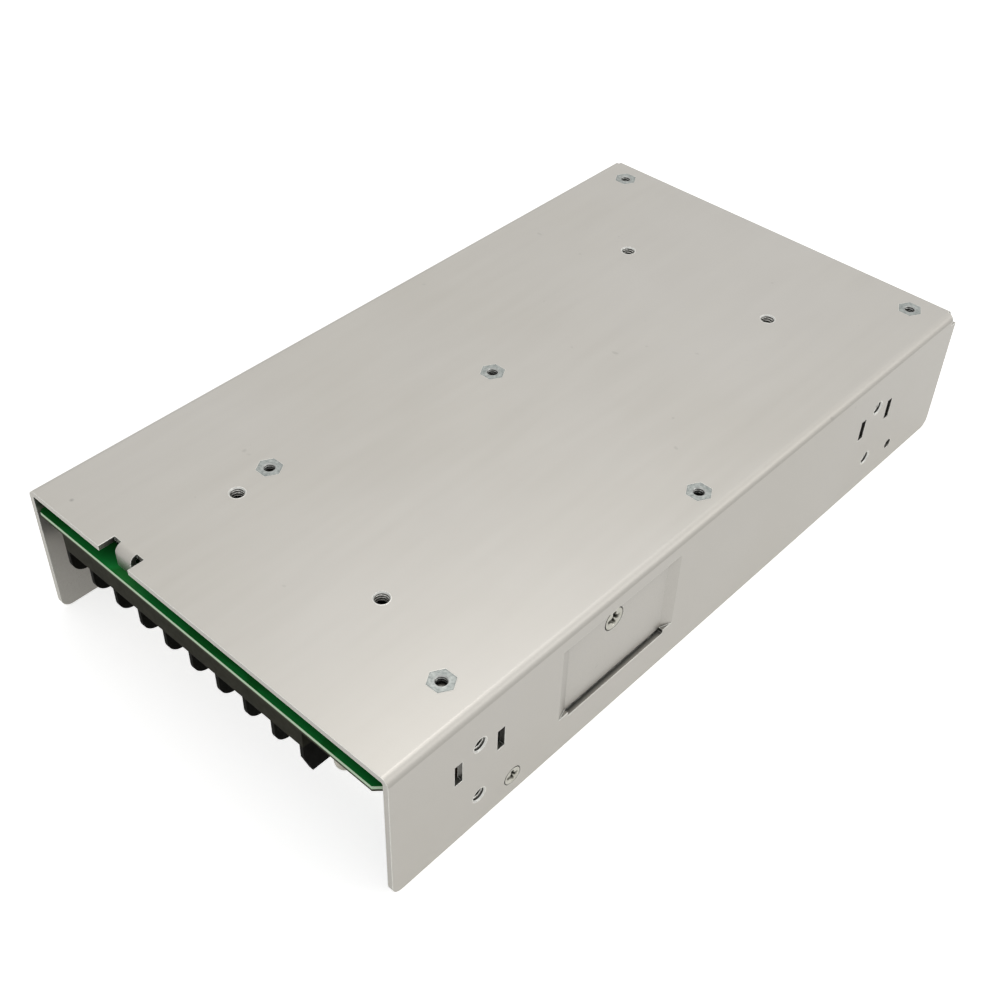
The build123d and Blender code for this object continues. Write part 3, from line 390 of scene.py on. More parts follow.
def boardSurface(name, look):
    # green mask, lighter where a broad copper track runs under it, with painted shade where parts and the
    # case close it in; the cut edge has a painted highlight along its top and is dark below
    material, tree, shader = startMaterial(name)
    cells = tree.nodes.new("ShaderNodeTexVoronoi")
    cells.feature = "DISTANCE_TO_EDGE"
    cells.inputs["Scale"].default_value = look["traceScale"]
    tree.links.new(objectPlace(tree), cells.inputs["Vector"])
    gap = look["traceWidth"]
    track = spread(tree, cells.outputs["Distance"], 0.0, 1.0, gap, gap * 1.6)
    mask = blendColours(tree, track, look["mask"], look["copper"])
    # painted shade: the mask darkens where parts and the case close the board in
    mask = blendColours(tree, openness(tree, look["reach"], 0.1, 0.8, False), look["deepShade"], mask)
    parts = tree.nodes.new("ShaderNodeSeparateXYZ")
    tree.links.new(tree.nodes.new("ShaderNodeNewGeometry").outputs["True Normal"], parts.inputs["Vector"])
    flat = spread(tree, maths(tree, "ABSOLUTE", parts.outputs["Z"]), 0.0, 1.0, 0.4, 0.6)
    place = tree.nodes.new("ShaderNodeSeparateXYZ")
    tree.links.new(objectPlace(tree), place.inputs["Vector"])
    # painted highlight: a pale band along the top of the cut edge
    split = look["edgeSplit"]
    level = spread(tree, place.outputs["Z"], 0.0, 1.0, split - 0.1 * mm, split + 0.1 * mm)
    edge = blendColours(tree, level, look["edgeDark"], look["edgeHighlight"])
    tree.links.new(blendColours(tree, flat, edge, mask), shader.inputs["Base Color"])
    rough = look["roughness"]
    tree.links.new(spread(tree, flat, 0.75, rough, 0.0, 1.0), shader.inputs["Roughness"])
    shader.inputs["Specular IOR Level"].default_value = look["specular"]
    grainBump(tree, shader, track, look["relief"], 0.00012)
    return material


green = boardSurface("solderMask", boardLook)
smallGreen = boardSurface("smallBoardMask", dict(boardLook, traceScale=90.0, edgeSplit=0.0))

plainLooks = {
    "blockPlastic": dict(colour=(0.022, 0.022, 0.014), stain=(0.032, 0.031, 0.021), stainScale=300.0,
                         deepShade=0.1, specular=0.04, roughness=0.6, grain=3200.0, grainHeight=0.00002,
                         edge=0.0002, reach=0.006, below=(0.0035, 0.0035, 0.002),
                         belowLevel=boardLow - 6.9 * mm),
    "screwZinc": dict(colour=(0.46, 0.45, 0.39), stain=(0.55, 0.54, 0.485), stainScale=400.0, metallic=0.95,
                      reach=0.0016, closed=0.35, opened=0.9, deepShade=0.03, roughness=0.34, grain=5000.0,
                      grainHeight=0.000006, edge=0.0001),
    "standoffZinc": dict(colour=(0.24, 0.26, 0.25), stain=(0.43, 0.45, 0.43), stainScale=1300.0, metallic=0.9,
                         reach=0.006, closed=0.15, opened=0.75, deepShade=0.08, roughness=0.42, grain=2500.0,
                         grainHeight=0.00003, edge=0.0001, rim=(0.15, 0.165, 0.155), rimShadeWidth=0.45 * mm),
    # thread materials: lit and shaded copies of the plating, brighter crests and chamfers as painted
    # highlights and dark roots as painted shade
    "threadCrestHighlight": dict(colour=(0.74, 0.73, 0.68), stain=(0.80, 0.79, 0.75), stainScale=600.0, metallic=0.6,
                       reach=0.006, closed=0.02, opened=0.36, deepShade=0.15, roughness=0.3, grain=4000.0,
                       grainHeight=0.000004),
    "chamferHighlight": dict(colour=(0.90, 0.90, 0.86), stain=(0.86, 0.86, 0.82), stainScale=600.0, metallic=0.3,
                        reach=0.003, closed=0.0, opened=0.3, deepShade=0.4, roughness=0.35, grain=4000.0,
                        grainHeight=0.000004),
    "threadGreyLit": dict(colour=(0.36, 0.37, 0.355), stain=(0.46, 0.47, 0.455), stainScale=900.0, metallic=0.9,
                       reach=0.006, closed=0.10, opened=0.50, deepShade=0.10, roughness=0.34, grain=4000.0,
                       grainHeight=0.000004),
    "threadRootShade": dict(colour=(0.10, 0.098, 0.088), stain=(0.16, 0.155, 0.14), stainScale=900.0, metallic=0.6,
                       reach=0.006, closed=0.10, opened=0.60, deepShade=0.05, roughness=0.5, grain=4000.0,
                       grainHeight=0.000004),
    "tinnedBrass": dict(colour=(0.70, 0.68, 0.62), stain=(0.62, 0.58, 0.48), stainScale=300.0, metallic=1.0,
                        roughness=0.30, grain=3000.0, grainHeight=0.000008, edge=0.0001),
    "insulationFilm": dict(colour=(0.012, 0.013, 0.012), stain=(0.018, 0.019, 0.018), stainScale=30.0,
                           deepShade=0.2, specular=0.2, roughness=0.45, grain=300.0, grainHeight=0.00003),
    "potBlue": dict(colour=(0.03, 0.12, 0.50), stain=(0.04, 0.15, 0.56), stainScale=250.0,
                    roughness=0.38, grain=3000.0, grainHeight=0.00001, edge=0.00015),
    "potWhite": dict(colour=(0.84, 0.83, 0.78), stain=(0.80, 0.78, 0.71), stainScale=300.0, reach=0.002,
                     roughness=0.45, grain=3000.0, grainHeight=0.00001, edge=0.0001),
    "lampLens": dict(colour=(0.74, 0.69, 0.56), stain=(0.78, 0.73, 0.61), stainScale=200.0, clear=0.2,
                     roughness=0.22, grain=900.0, grainHeight=0.00001),
    "ceramicTube": dict(colour=(0.84, 0.82, 0.75), stain=(0.78, 0.75, 0.67), stainScale=150.0,
                        roughness=0.30, grain=900.0, grainHeight=0.00002, edge=0.0001),
    "filmCapYellow": dict(colour=(0.72, 0.52, 0.06), stain=(0.66, 0.46, 0.05), stainScale=110.0,
                          roughness=0.36, grain=1500.0, grainHeight=0.00003),
    "ferriteGrey": dict(colour=(0.045, 0.045, 0.05), stain=(0.08, 0.08, 0.085), stainScale=260.0,
                        roughness=0.55, grain=2200.0, grainHeight=0.00005, edge=0.0003),
    "copperEnamel": dict(colour=(0.42, 0.13, 0.04), stain=(0.52, 0.18, 0.06), stainScale=240.0, metallic=0.6,
                         roughness=0.26, grain=900.0, grainHeight=0.00001),
    "saddleBlack": dict(colour=(0.03, 0.03, 0.033), stain=(0.045, 0.045, 0.05), stainScale=120.0,
                        roughness=0.5, grain=2500.0, grainHeight=0.00003, edge=0.0003),
    "discBlue": dict(colour=(0.03, 0.16, 0.48), stain=(0.04, 0.21, 0.55), stainScale=160.0,
                     roughness=0.28, grain=420.0, grainHeight=0.00006),
    "discDark": dict(colour=(0.03, 0.045, 0.035), stain=(0.05, 0.065, 0.05), stainScale=160.0,
                     roughness=0.4, grain=420.0, grainHeight=0.00006),
    "spreaderAlu": dict(colour=(0.66, 0.67, 0.68), stain=(0.74, 0.75, 0.755), stainScale=80.0, metallic=1.0,
                        roughness=0.34, grain=900.0, grainHeight=0.00001, stretch=(1.0, 0.08, 1.0),
                        edge=0.0003),
    "canTop": dict(colour=(0.70, 0.71, 0.72), stain=(0.78, 0.79, 0.80), stainScale=160.0, metallic=1.0,
                   roughness=0.30, grain=900.0, grainHeight=0.00001, stretch=(1.0, 0.1, 1.0)),
    "canStripe": dict(colour=(0.42, 0.43, 0.46), stain=(0.46, 0.47, 0.50), stainScale=60.0,
                      roughness=0.27, grain=700.0, grainHeight=0.00001),
    "padGrey": dict(colour=(0.40, 0.42, 0.44), stain=(0.46, 0.48, 0.50), stainScale=120.0,
                    roughness=0.65, grain=1800.0, grainHeight=0.00003),
    "packageBlack": dict(colour=(0.018, 0.018, 0.02), stain=(0.03, 0.03, 0.032), stainScale=200.0,
                         roughness=0.48, grain=3200.0, grainHeight=0.00003, edge=0.0002),
    "coilTape": dict(colour=(0.70, 0.50, 0.05), stain=(0.78, 0.59, 0.10), stainScale=90.0,
                     roughness=0.30, grain=500.0, grainHeight=0.00003, stretch=(0.2, 0.2, 3.0)),
    "headerWhite": dict(colour=(0.82, 0.80, 0.73), stain=(0.76, 0.73, 0.65), stainScale=200.0,
                        roughness=0.42, grain=2500.0, grainHeight=0.00001, edge=0.0002),
    "fanPlastic": dict(colour=(0.017, 0.017, 0.018), stain=(0.028, 0.028, 0.03), stainScale=70.0,
                       roughness=0.38, grain=2600.0, grainHeight=0.00002, edge=0.0004),
    "statorSteel": dict(colour=(0.34, 0.20, 0.10), stain=(0.45, 0.40, 0.35), stainScale=260.0, metallic=0.8,
                        roughness=0.40, grain=1400.0, grainHeight=0.00004, stretch=(0.2, 0.2, 4.0),
                        edge=0.0003),
    "sleeveDark": dict(colour=(0.020, 0.020, 0.045), stain=(0.030, 0.030, 0.060), stainScale=60.0,
                       roughness=0.27, grain=700.0, grainHeight=0.00001),
}
finishes = {name: plainSurface(name, look) for name, look in plainLooks.items()}

nodeFinishes = {
    "chassis": zinc, "mesh_cover": coverZinc, "insulation_sheet": "insulationFilm",
    "board_standoffs": "standoffZinc", "board_screws": "screwZinc", "main_board": green,
    "terminal_block": "blockPlastic", "terminal_contacts": "tinnedBrass", "terminal_clamps": "screwZinc",
    "terminal_screws": "screwZinc", "trim_pot_body": "potBlue", "trim_pot_rotor": "potWhite",
    "status_lamp": "lampLens", "fuse_body": "ceramicTube", "fuse_clips": "tinnedBrass",
    "line_capacitors": "filmCapYellow", "line_choke_cores": "ferriteGrey",
    "line_choke_windings": "copperEnamel", "choke_saddles": "saddleBlack", "y_capacitors": "discBlue",
    "inrush_thermistor": "discDark", "bridge_rectifier": "packageBlack", "bulk_capacitors": "sleeveDark",
    "switch_heat_spreader": "spreaderAlu", "switch_insulator": "padGrey",
    "switch_transistors": "packageBlack", "output_heat_spreader": "spreaderAlu",
    "output_insulator": "padGrey", "output_rectifiers": "packageBlack", "spreader_screws": "screwZinc",
    "transformer_core": "ferriteGrey", "transformer_bobbin": "saddleBlack",
    "transformer_winding": "coilTape", "output_choke_core": "ferriteGrey",
    "output_choke_winding": "copperEnamel", "output_capacitors": "sleeveDark",
    "control_board": smallGreen, "control_chips": "packageBlack", "optocouplers": "packageBlack",
    "auxiliary_transformer": "coilTape", "fan_header": "headerWhite", "fan_frame": "fanPlastic",
    "fan_stator": "statorSteel", "fan_rotor": "fanPlastic", "fan_screws": "screwZinc",
    "cover_screws": "screwZinc",
}
for nodeName, finish in nodeFinishes.items():
    material = finishes[finish] if isinstance(finish, str) else finish
    mesh = nodes[nodeName].data
    mesh.materials.clear()
    mesh.materials.append(material)
print("finishes given to", len(nodeFinishes), "nodes")


# Threads in the tapped holes


def threadWave(turn, height, pitch):
    # triangle wave from 0 at the root to 1 at the crest, climbing one pitch each turn
    phase = (height / pitch - turn / (2 * math.pi)) % 1.0
    return 1 - np.abs(2 * phase - 1)


def threadSleeve(look, columns=40):
    # low lip on the sheet, a chamfer, then an inner wall that is a helical ridge; z = 0 is the sheet's face
    root = look["root"] * mm
    length = look["length"] * mm
    pitch = look["pitch"] * mm
    rings = int(length / pitch * 8) + 1
    turn = np.linspace(0, 2 * math.pi, columns, endpoint=False)[None, :]
    lip = np.array(look["lip"]) * mm
    start = look["start"] * mm
    height = np.linspace(-start, -length, rings)[:, None]
    taper = np.clip(np.minimum(-height - start, height + length) / (0.5 * pitch), 0, 1)
    inner = root - look["depth"] * mm * (0.25 + 0.75 * threadWave(turn, height, pitch)) * taper
    back = np.full((2, columns), root + 0.02 * mm)
    radius = np.concatenate([root + lip[:, 0:1] + 0 * turn, inner, back])
    backLevels = np.array([[-length], [-0.02 * mm]]) + 0 * turn
    level = np.concatenate([lip[:, 1:2] + 0 * turn, height + 0 * turn, backLevels])
    points = np.stack([radius * np.cos(turn), radius * np.sin(turn), level], axis=-1).reshape(-1, 3)
    faces = gridFaces(len(radius), columns, wrapRows=True)
    across = turn + math.pi / columns
    between = (height[:-1] + height[1:]) / 2
    rootWalls = threadWave(across, between, pitch) * taper[:-1] < look["dark"]
    # material of each face: 0 on the crests, with a painted highlight, 1 in the roots, with painted shade, 2
    # on the chamfer, with a painted highlight
    shade = np.zeros((len(radius), columns), dtype=int)
    shade[len(lip) - 3] = 2
    shade[len(lip) - 2:len(lip)] = 1
    shade[len(lip):len(lip) + rings - 1] = rootWalls
    return points, faces, shade.ravel()


def patternPlaces(name):
    # hole places of a bolt pattern as (origin, axis); spacing_x runs along the case on its sides
    mount = mounts[name]
    axis = mount["axis"]
    centre = np.array(mount["pos_m"])
    across = mount["dims"]["spacing_x_mm"] * mm / 2
    up = mount["dims"]["spacing_y_mm"] * mm / 2
    first, second = ((1, 0, 0), (0, 1, 0)) if abs(axis[2]) > 0.5 else ((0, 1, 0), (0, 0, 1))
    places = []
    for a in (-1, 1):
        for b in (-1, 1):
            places.append((centre + a * across * np.array(first) + b * up * np.array(second), axis))
    return places


holeLook = {
    "root": mounts["base_holes"]["dims"]["hole_r_mm"], "depth": 0.38, "pitch": 0.8, "length": 3.25,
    "dark": 0.5, "start": 0.5,
    "lip": [(0.24, 0.0), (0.16, 0.015), (0.05, 0.01), (-0.24, -0.38), (-0.26, -0.45)],
}
standoffLook = {
    "root": 1.55, "depth": 0.30, "pitch": 0.7, "length": 5.9, "dark": 0.45,
    "start": 0.35, "lip": [(0.16, 0.0), (0.10, 0.01), (0.03, 0.0), (-0.2, -0.26), (-0.22, -0.31)],
    "places": [(-52.2, 216.5), (51.2, 216.5), (-13.6, 112.0), (54.6, 112.0), (-26.5, 45.4), (51.3, 26.1)],
}
holeFinishes = [finishes[name] for name in ("threadCrestHighlight", "threadRootShade", "chamferHighlight")]
standoffFinishes = [finishes[name] for name in ("threadGreyLit", "threadRootShade", "threadGreyLit")]
sleevePoints, sleeveFaces, shade = threadSleeve(holeLook)
for pieceName, pattern in (("plateThreads", "base_holes"), ("rightSideThreads", "right_side_holes"),
                           ("leftSideThreads", "left_side_holes")):
    places = patternPlaces(pattern)
    points, faces = copyTo(sleevePoints, sleeveFaces, places)
    addPiece(pieceName, points, faces, holeFinishes, materialOf=np.tile(shade, len(places)))
places = [((x * mm, along(distance), plateTop), (0, 0, 1)) for x, distance in standoffLook["places"]]
sleevePoints, sleeveFaces, shade = threadSleeve(standoffLook)
points, faces = copyTo(sleevePoints, sleeveFaces, places)
addPiece("standoffThreads", points, faces, standoffFinishes,
         materialOf=np.tile(shade, len(places)))
print("threads cut")


# Screws with a cross recess and a thread


def crossRecess(x, y, head):
    # 1 inside two crossing slots that get shallower outwards, 0 outside
    def wing(u, v):
        side = np.clip(3.5 * (1 - np.abs(v) / (0.19 * head)), 0, 1)
        end = np.clip(2.6 * (1 - np.abs(u) / (0.70 * head)), 0, 1)
        return side * end
    centre = np.clip(1.9 - np.hypot(x, y) / (0.2 * head), 0, 1)
    return np.maximum(np.maximum(wing(x, y), wing(y, x)), centre)


def screwSurface(look, columns=64):
    # rings from the middle of the head, over its rim, down the neck and the threaded shank to the tip
    head = look["head"] * mm
    shank = look["shank"] * mm
    height = look["height"] * mm
    length = look["length"] * mm
    pitch = look["pitch"] * mm
    topRings = 20
    profile = [(r, height) for r in np.linspace(0, head * 0.94, topRings)]
    if look["style"] == "pan":
        bend = np.linspace(0.2, 1, 5) * math.pi / 2
        rim = 0.06 * head
        profile += [(head - rim + rim * math.sin(a), height - height * 0.45 * (1 - math.cos(a)))
                    for a in bend]
        profile += [(head, 0.05 * height), (head * 0.98, 0)]
        neck = 0.0
    else:
        neck = height - (head - shank)
        grooveLevel = height - 0.32 * mm
        profile += [(head * 0.945, grooveLevel), (head * 0.985, grooveLevel), (head, height - 0.04 * mm),
                    (head, height - 0.10 * mm), (shank, neck)]
    shankLevels = np.linspace(neck - 0.1 * mm, -length + 0.35 * mm, int(length / pitch * 6))
    profile += [(shank, level) for level in shankLevels]
    profile += [(shank * 0.7, -length), (0, -length)]
    profile = np.array(profile)
    turn = np.linspace(0, 2 * math.pi, columns, endpoint=False)[None, :]
    radius = profile[:, 0:1] + 0 * turn
    level = profile[:, 1:2] + 0 * turn
    onShank = (profile[:, 1:2] < neck - 0.05 * mm) & (profile[:, 0:1] > 0.9 * shank)
    cut = 0.16 * pitch + 0.4 * pitch * (1 - threadWave(turn, level, pitch))
    radius = np.where(onShank, radius - cut, radius)
    x = radius * np.cos(turn)
    y = radius * np.sin(turn)
    onTop = np.arange(len(profile))[:, None] < topRings
    level = np.where(onTop, level - look["recess"] * mm * crossRecess(x, y, head), level)
    if look["style"] == "pan":
        level = np.where(onTop, level - 0.10 * height * (radius / head) ** 2, level)
    points = np.stack([x, y, level], axis=-1).reshape(-1, 3)
    return points, gridFaces(len(profile), columns)


def sideScrewPlaces(look):
    # one screw in each side, sunk by the depth of the pressed panel that it sits in
    outside = caseHigh[0] - look["sunk"] * mm
    return [((side * outside, along(look["distance"]), look["level"] * mm), (side, 0, 0)) for side in (-1, 1)]


def terminalScrewPlaces(look):
    # one screw in each way of the terminal block, on its clamp
    middles = (np.arange(look["ways"]) - (look["ways"] - 1) / 2) * look["wayPitch"] + look["middle"]
    level = boardLow - look["clampDrop"] * mm
    return [((x * mm, along(look["distance"]), level), towardsCover) for x in middles]


def fanScrewPlaces(look):
    # the corners of a square round the middle of the fan's frame
    low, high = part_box("fan_frame")
    middleX = (low[0] + high[0]) / 2
    middleY = (low[1] + high[1]) / 2
    reach = look["reach"] * mm
    return [((middleX + a * reach, middleY + b * reach, 0.0), towardsCover) for a in (-1, 1) for b in (-1, 1)]


screwLooks = {
    "cover_screws": dict(style="flat", head=2.6, height=-0.04, shank=1.5, length=6.0, pitch=0.5, recess=1.2,
                         distance=38.2, level=6.1, sunk=0.0),
    "spreader_screws": dict(style="flat", head=3.2, height=-0.05, shank=2.0, length=4.7, pitch=0.7,
                            recess=1.5, distance=73.3, level=30.5, sunk=1.2),
    "terminal_screws": dict(style="pan", head=3.3, height=2.6, shank=1.75, length=6.0, pitch=0.6, recess=1.5,
                            distance=9.6, clampDrop=8.8, ways=9, wayPitch=9.5, middle=-8.9),
    "fan_screws": dict(style="flat", head=2.65, height=-0.04, shank=1.6, length=9.0, pitch=0.6, recess=1.1,
                       reach=25.0),
}
screwPlaces = {
    "cover_screws": sideScrewPlaces(screwLooks["cover_screws"]),
    "spreader_screws": sideScrewPlaces(screwLooks["spreader_screws"]),
    "terminal_screws": terminalScrewPlaces(screwLooks["terminal_screws"]),
    "fan_screws": fanScrewPlaces(screwLooks["fan_screws"]),
}
for nodeName, look in screwLooks.items():
    points, faces = copyTo(*screwSurface(look), screwPlaces[nodeName])
    addPiece(nodeName.split("_")[0] + "ScrewHeads", points, faces, [finishes["screwZinc"]],
             replaced=(nodeName,))
print("screws made")


# Lamp lens: a foot, a short barrel and a dome


lampLook = {"radius": 2.35, "foot": 2.75, "footHeight": 1.0, "height": 6.0, "spot": (15.5, 3.6)}
arc = np.linspace(0, math.pi / 2, 14)
dome = np.stack([lampLook["radius"] * np.cos(arc),
                 lampLook["height"] - lampLook["radius"] * (1 - np.sin(arc))], axis=-1)
foot = np.array([(0, 0), (lampLook["foot"], 0), (lampLook["foot"], lampLook["footHeight"]),
                 (lampLook["radius"], lampLook["footHeight"] + 0.05)])
points, faces = lathe(np.concatenate([foot, dome]) * mm, 40)
points, faces = copyTo(points, faces, [(fromRight(lampLook["spot"]), towardsCover)])
addPiece("lampLens", points, faces, [finishes["lampLens"]], replaced=("status_lamp",))


# Capacitor cans: a shrink sleeve with a crimp groove and a pale stripe, and a scored metal top


def canSurface(look, columns=96):
    # rings up the sleeve from the board, over its rolled lip, then across the sunk top to its middle
    radius = look["radius"]
    height = look["height"]
    roll = look["roll"]
    arc = np.linspace(0, math.pi / 2, 7)
    up = [(0.86 * radius, 0.0), (0.86 * radius, 0.7), (0.99 * radius, 0.8), (radius, 1.2), (radius, 2.6)]
    groove = [(radius - 0.5 * math.sin(a) ** 2, 2.6 + 1.6 * a / math.pi)
              for a in np.linspace(0.3, math.pi, 8)]
    over = [(radius - roll * (1 - math.cos(a)), height - roll * (1 - math.sin(a))) for a in arc]
    lip = [(radius - roll - look["lip"], height), (radius - roll - look["lip"] - 0.1, height - look["sink"])]
    sleeve = up + groove + over + lip
    inner = np.linspace(lip[-1][0], 0, 26)[1:]
    profile = np.array(sleeve + [(r, height - look["sink"]) for r in inner]) * mm
    points, faces = lathe(profile, columns)
    reach = np.hypot(points[:, 0], points[:, 1])
    score = np.zeros(len(points))
    for angle in look["scores"]:
        across = np.abs(points[:, 0] * math.sin(angle) - points[:, 1] * math.cos(angle))
        ahead = points[:, 0] * math.cos(angle) + points[:, 1] * math.sin(angle) > -0.3 * mm
        score = np.maximum(score, np.clip(1 - across / (0.45 * mm), 0, 1) * ahead)
    onTop = np.arange(len(points)) >= len(sleeve) * columns
    inside = np.clip((0.78 * radius * mm - reach) / (0.6 * mm), 0, 1)
    points[:, 2] -= onTop * score * inside * 0.3 * mm
    row = np.repeat(np.arange(len(profile) - 1), columns)
    column = np.tile(np.arange(columns), len(profile) - 1)
    nearStripe = np.abs(column - columns * look["stripeAt"]) < columns * 0.055
    stripe = nearStripe & (row > 5) & (row < len(sleeve) - 1)
    materialOf = np.where(row >= len(sleeve) - 1, 1, np.where(stripe, 2, 0))
    return points, faces, materialOf


canLooks = {
    "bulk": dict(radius=11.0, height=29.0, roll=1.2, lip=1.2, sink=0.35, stripeAt=0.3, scores=(0.5, 2.6, 4.7),
                 places=[fromLeft((23.5, 92.0)), fromLeft((23.5, 115.0))], replaced="bulk_capacitors"),
    "output": dict(radius=7.0, height=24.0, roll=0.9, lip=0.8, sink=0.3, stripeAt=0.72, scores=(0.2, 3.34),
                   places=[fromRight(spot) for spot in ((56.5, 26.0), (40.5, 26.0), (24.5, 26.0),
                                                        (20.5, 65.0), (20.5, 83.0))],
                   replaced="output_capacitors"),
}
canFinishes = [finishes[name] for name in ("sleeveDark", "canTop", "canStripe")]
for canName, look in canLooks.items():
    points, faces, materialOf = canSurface(look)
    count = len(look["places"])
    points, faces = copyTo(points, faces, [(place, towardsCover) for place in look["places"]])
    addPiece(canName + "Cans", points, faces, canFinishes, replaced=(look["replaced"],),
             materialOf=np.tile(materialOf, count))
print("capacitor cans made")


# Chokes: round wire wound on a standing ring core, each end led to the board


def ringWinding(look, centre, first, last, turns):
    # the section angle goes round the core's rounded square while the ring angle grows from first to last
    wire = look["wire"] * mm
    gap = 0.1 * mm
    middle = (look["outer"] + look["inner"]) / 2 * mm
    radial = (look["outer"] - look["inner"]) / 2 * mm + gap + wire / 2
    half = look["thick"] / 2 * mm + gap + wire / 2
    share = np.linspace(0, 1, turns * 30 + 1)
    section = 2 * math.pi * turns * share + math.pi / 2
    ring = first + (last - first) * share
    out = np.sign(np.cos(section)) * np.abs(np.cos(section)) ** 0.5
    side = np.sign(np.sin(section)) * np.abs(np.sin(section)) ** 0.5
    distance = middle + radial * out
    wound = np.stack([distance * np.cos(ring), half * side, distance * np.sin(ring)], axis=-1)
    path = np.array(centre) + wound
    outward = np.stack([out * np.cos(ring), side, out * np.sin(ring)], axis=-1)
    shapes = [tube(path, outward, wire / 2)]
    sidestep = 1.05 * wire
    for end in (path[0], path[-1]):
        # each end bends aside and up to the board: a curve with one corner point, then straight
        top = np.array([end[0], end[1] + sidestep, boardLow])
        turned = np.array([end[0], end[1] + sidestep, end[2] + 1.4 * wire])
        corner = end + (0, sidestep, 0)
        bend = np.linspace(0, 1, 6)[:, None]
        lead = (1 - bend) ** 2 * end + 2 * bend * (1 - bend) * corner + bend ** 2 * turned
        lead = np.concatenate([lead, [top]])
        shapes.append(tube(lead, np.tile([1.0, 0.0, 0.0], (len(lead), 1)), wire / 2))
    return shapes


chokeLook = {"outer": 12.525, "inner": 7.025, "thick": 10.0, "wire": 1.3, "turns": 9, "reach": 62.0,
             "lift": 15.325, "spots": [(18.5, 45.2), (27.5, 73.0)]}
outputChokeLook = {"outer": 12.8, "inner": 6.8, "thick": 11.0, "wire": 1.6, "turns": 16, "reach": 146.0,
                   "lift": 15.9, "spot": (24.5, 44.0)}
shapes = []
for spot in chokeLook["spots"]:
    x, y, z = fromLeft(spot)
    for side in (0.0, 180.0):
        ends = np.radians([side - chokeLook["reach"], side + chokeLook["reach"]])
        shapes += ringWinding(chokeLook, (x, y, z - chokeLook["lift"] * mm), *ends, chokeLook["turns"])
points, faces = join(shapes)
addPiece("lineChokeWires", points, faces, [finishes["copperEnamel"]],
         replaced=("line_choke_windings",))
x, y, z = fromRight(outputChokeLook["spot"])
ends = np.radians([-90 - outputChokeLook["reach"], -90 + outputChokeLook["reach"]])
points, faces = join(ringWinding(outputChokeLook, (x, y, z - outputChokeLook["lift"] * mm), *ends,
                                 outputChokeLook["turns"]))
addPiece("outputChokeWire", points, faces, [finishes["copperEnamel"]],
         replaced=("output_choke_winding",))
print("chokes wound")


# Moulded film capacitors and dipped discs


filmLook = {"size": (26.0, 9.5, 18.0), "corner": 1.4, "edge": 0.9, "spots": [(26.5, 28.0), (26.5, 61.0)]}
points, faces = softBlock(tuple(side * mm for side in filmLook["size"]), filmLook["corner"] * mm,
                          filmLook["edge"] * mm)
points, faces = copyTo(points, faces, [(fromLeft(spot), towardsCover) for spot in filmLook["spots"]])
addPiece("filmCapCases", points, faces, [finishes["filmCapYellow"]],
         replaced=("line_capacitors",))


def dippedDisc(look, spot):
    # pillow-shaped disc on edge: radius R sin(t)^0.55 and half thickness T |cos(t)|^0.7, with two wire leads
    radius = look["radius"] * mm
    half = look["thick"] / 2 * mm
    t = np.linspace(0, math.pi, 21)
    bulge = half * np.sign(np.cos(t)) * np.abs(np.cos(t)) ** 0.7
    profile = np.stack([radius * np.sin(t) ** 0.55, bulge], axis=-1)
    x, y, z = fromLeft(spot)
    middle = z - (look["lift"] + look["radius"]) * mm
    shapes = [copyTo(*lathe(profile, 40), [((x, y, middle), (0, 1, 0))])]
    for side in (-1, 1):
        foot = x + side * radius / 2
        lead = np.array([(foot, y, z), (foot, y, z - look["lift"] * mm), (foot, y, middle + 0.6 * radius)])
        shapes.append(tube(lead, np.tile([1.0, 0.0, 0.0], (3, 1)), 0.4 * mm))
    return shapes


discLooks = {
    "yCapDiscs": dict(radius=4.5, thick=4.0, lift=2.0, spots=[(48.5, 45.0), (48.5, 53.0)],
                      finish="discBlue", slot="disc_blue", replaced="y_capacitors"),
    "thermistorDisc": dict(radius=7.0, thick=4.0, lift=2.0, spots=[(47.5, 36.0)],
                           finish="discDark", slot="disc_dark", replaced="inrush_thermistor"),
}
for pieceName, look in discLooks.items():
    shapes = []
    for spot in look["spots"]:
        shapes += dippedDisc(look, spot)
    points, faces = join(shapes)
    addPiece(pieceName, points, faces, [finishes[look["finish"]]], replaced=(look["replaced"],))


# Transformer winding under lapped tape


tapeLook = {"half": (14.0, 15.7), "corner": 3.0, "height": 12.2, "middle": 14.0, "place": (4.0, 88.0),
            "laps": 4, "ridge": 0.22, "wall": 6.4}
rise = np.linspace(0, 1, 49)
lapped = tapeLook["ridge"] * ((rise * tapeLook["laps"]) % 1.0) ** 2
insets = np.concatenate([[tapeLook["wall"], 0.8], lapped, [0.8, tapeLook["wall"], tapeLook["wall"]]]) * mm
low = -tapeLook["height"] / 2
levels = np.concatenate([[low, low], low + rise * tapeLook["height"], [-low, -low, low]]) * mm
points, faces = roundedBox([side * mm for side in tapeLook["half"]], tapeLook["corner"] * mm, insets,
                           levels, 8)
points += np.array([tapeLook["place"][0] * mm, along(tapeLook["place"][1]),
                    boardLow - tapeLook["middle"] * mm])
addPiece("windingTape", points, faces, [finishes["coilTape"]], replaced=("transformer_winding",))


# Fuse: a ceramic tube between two end caps


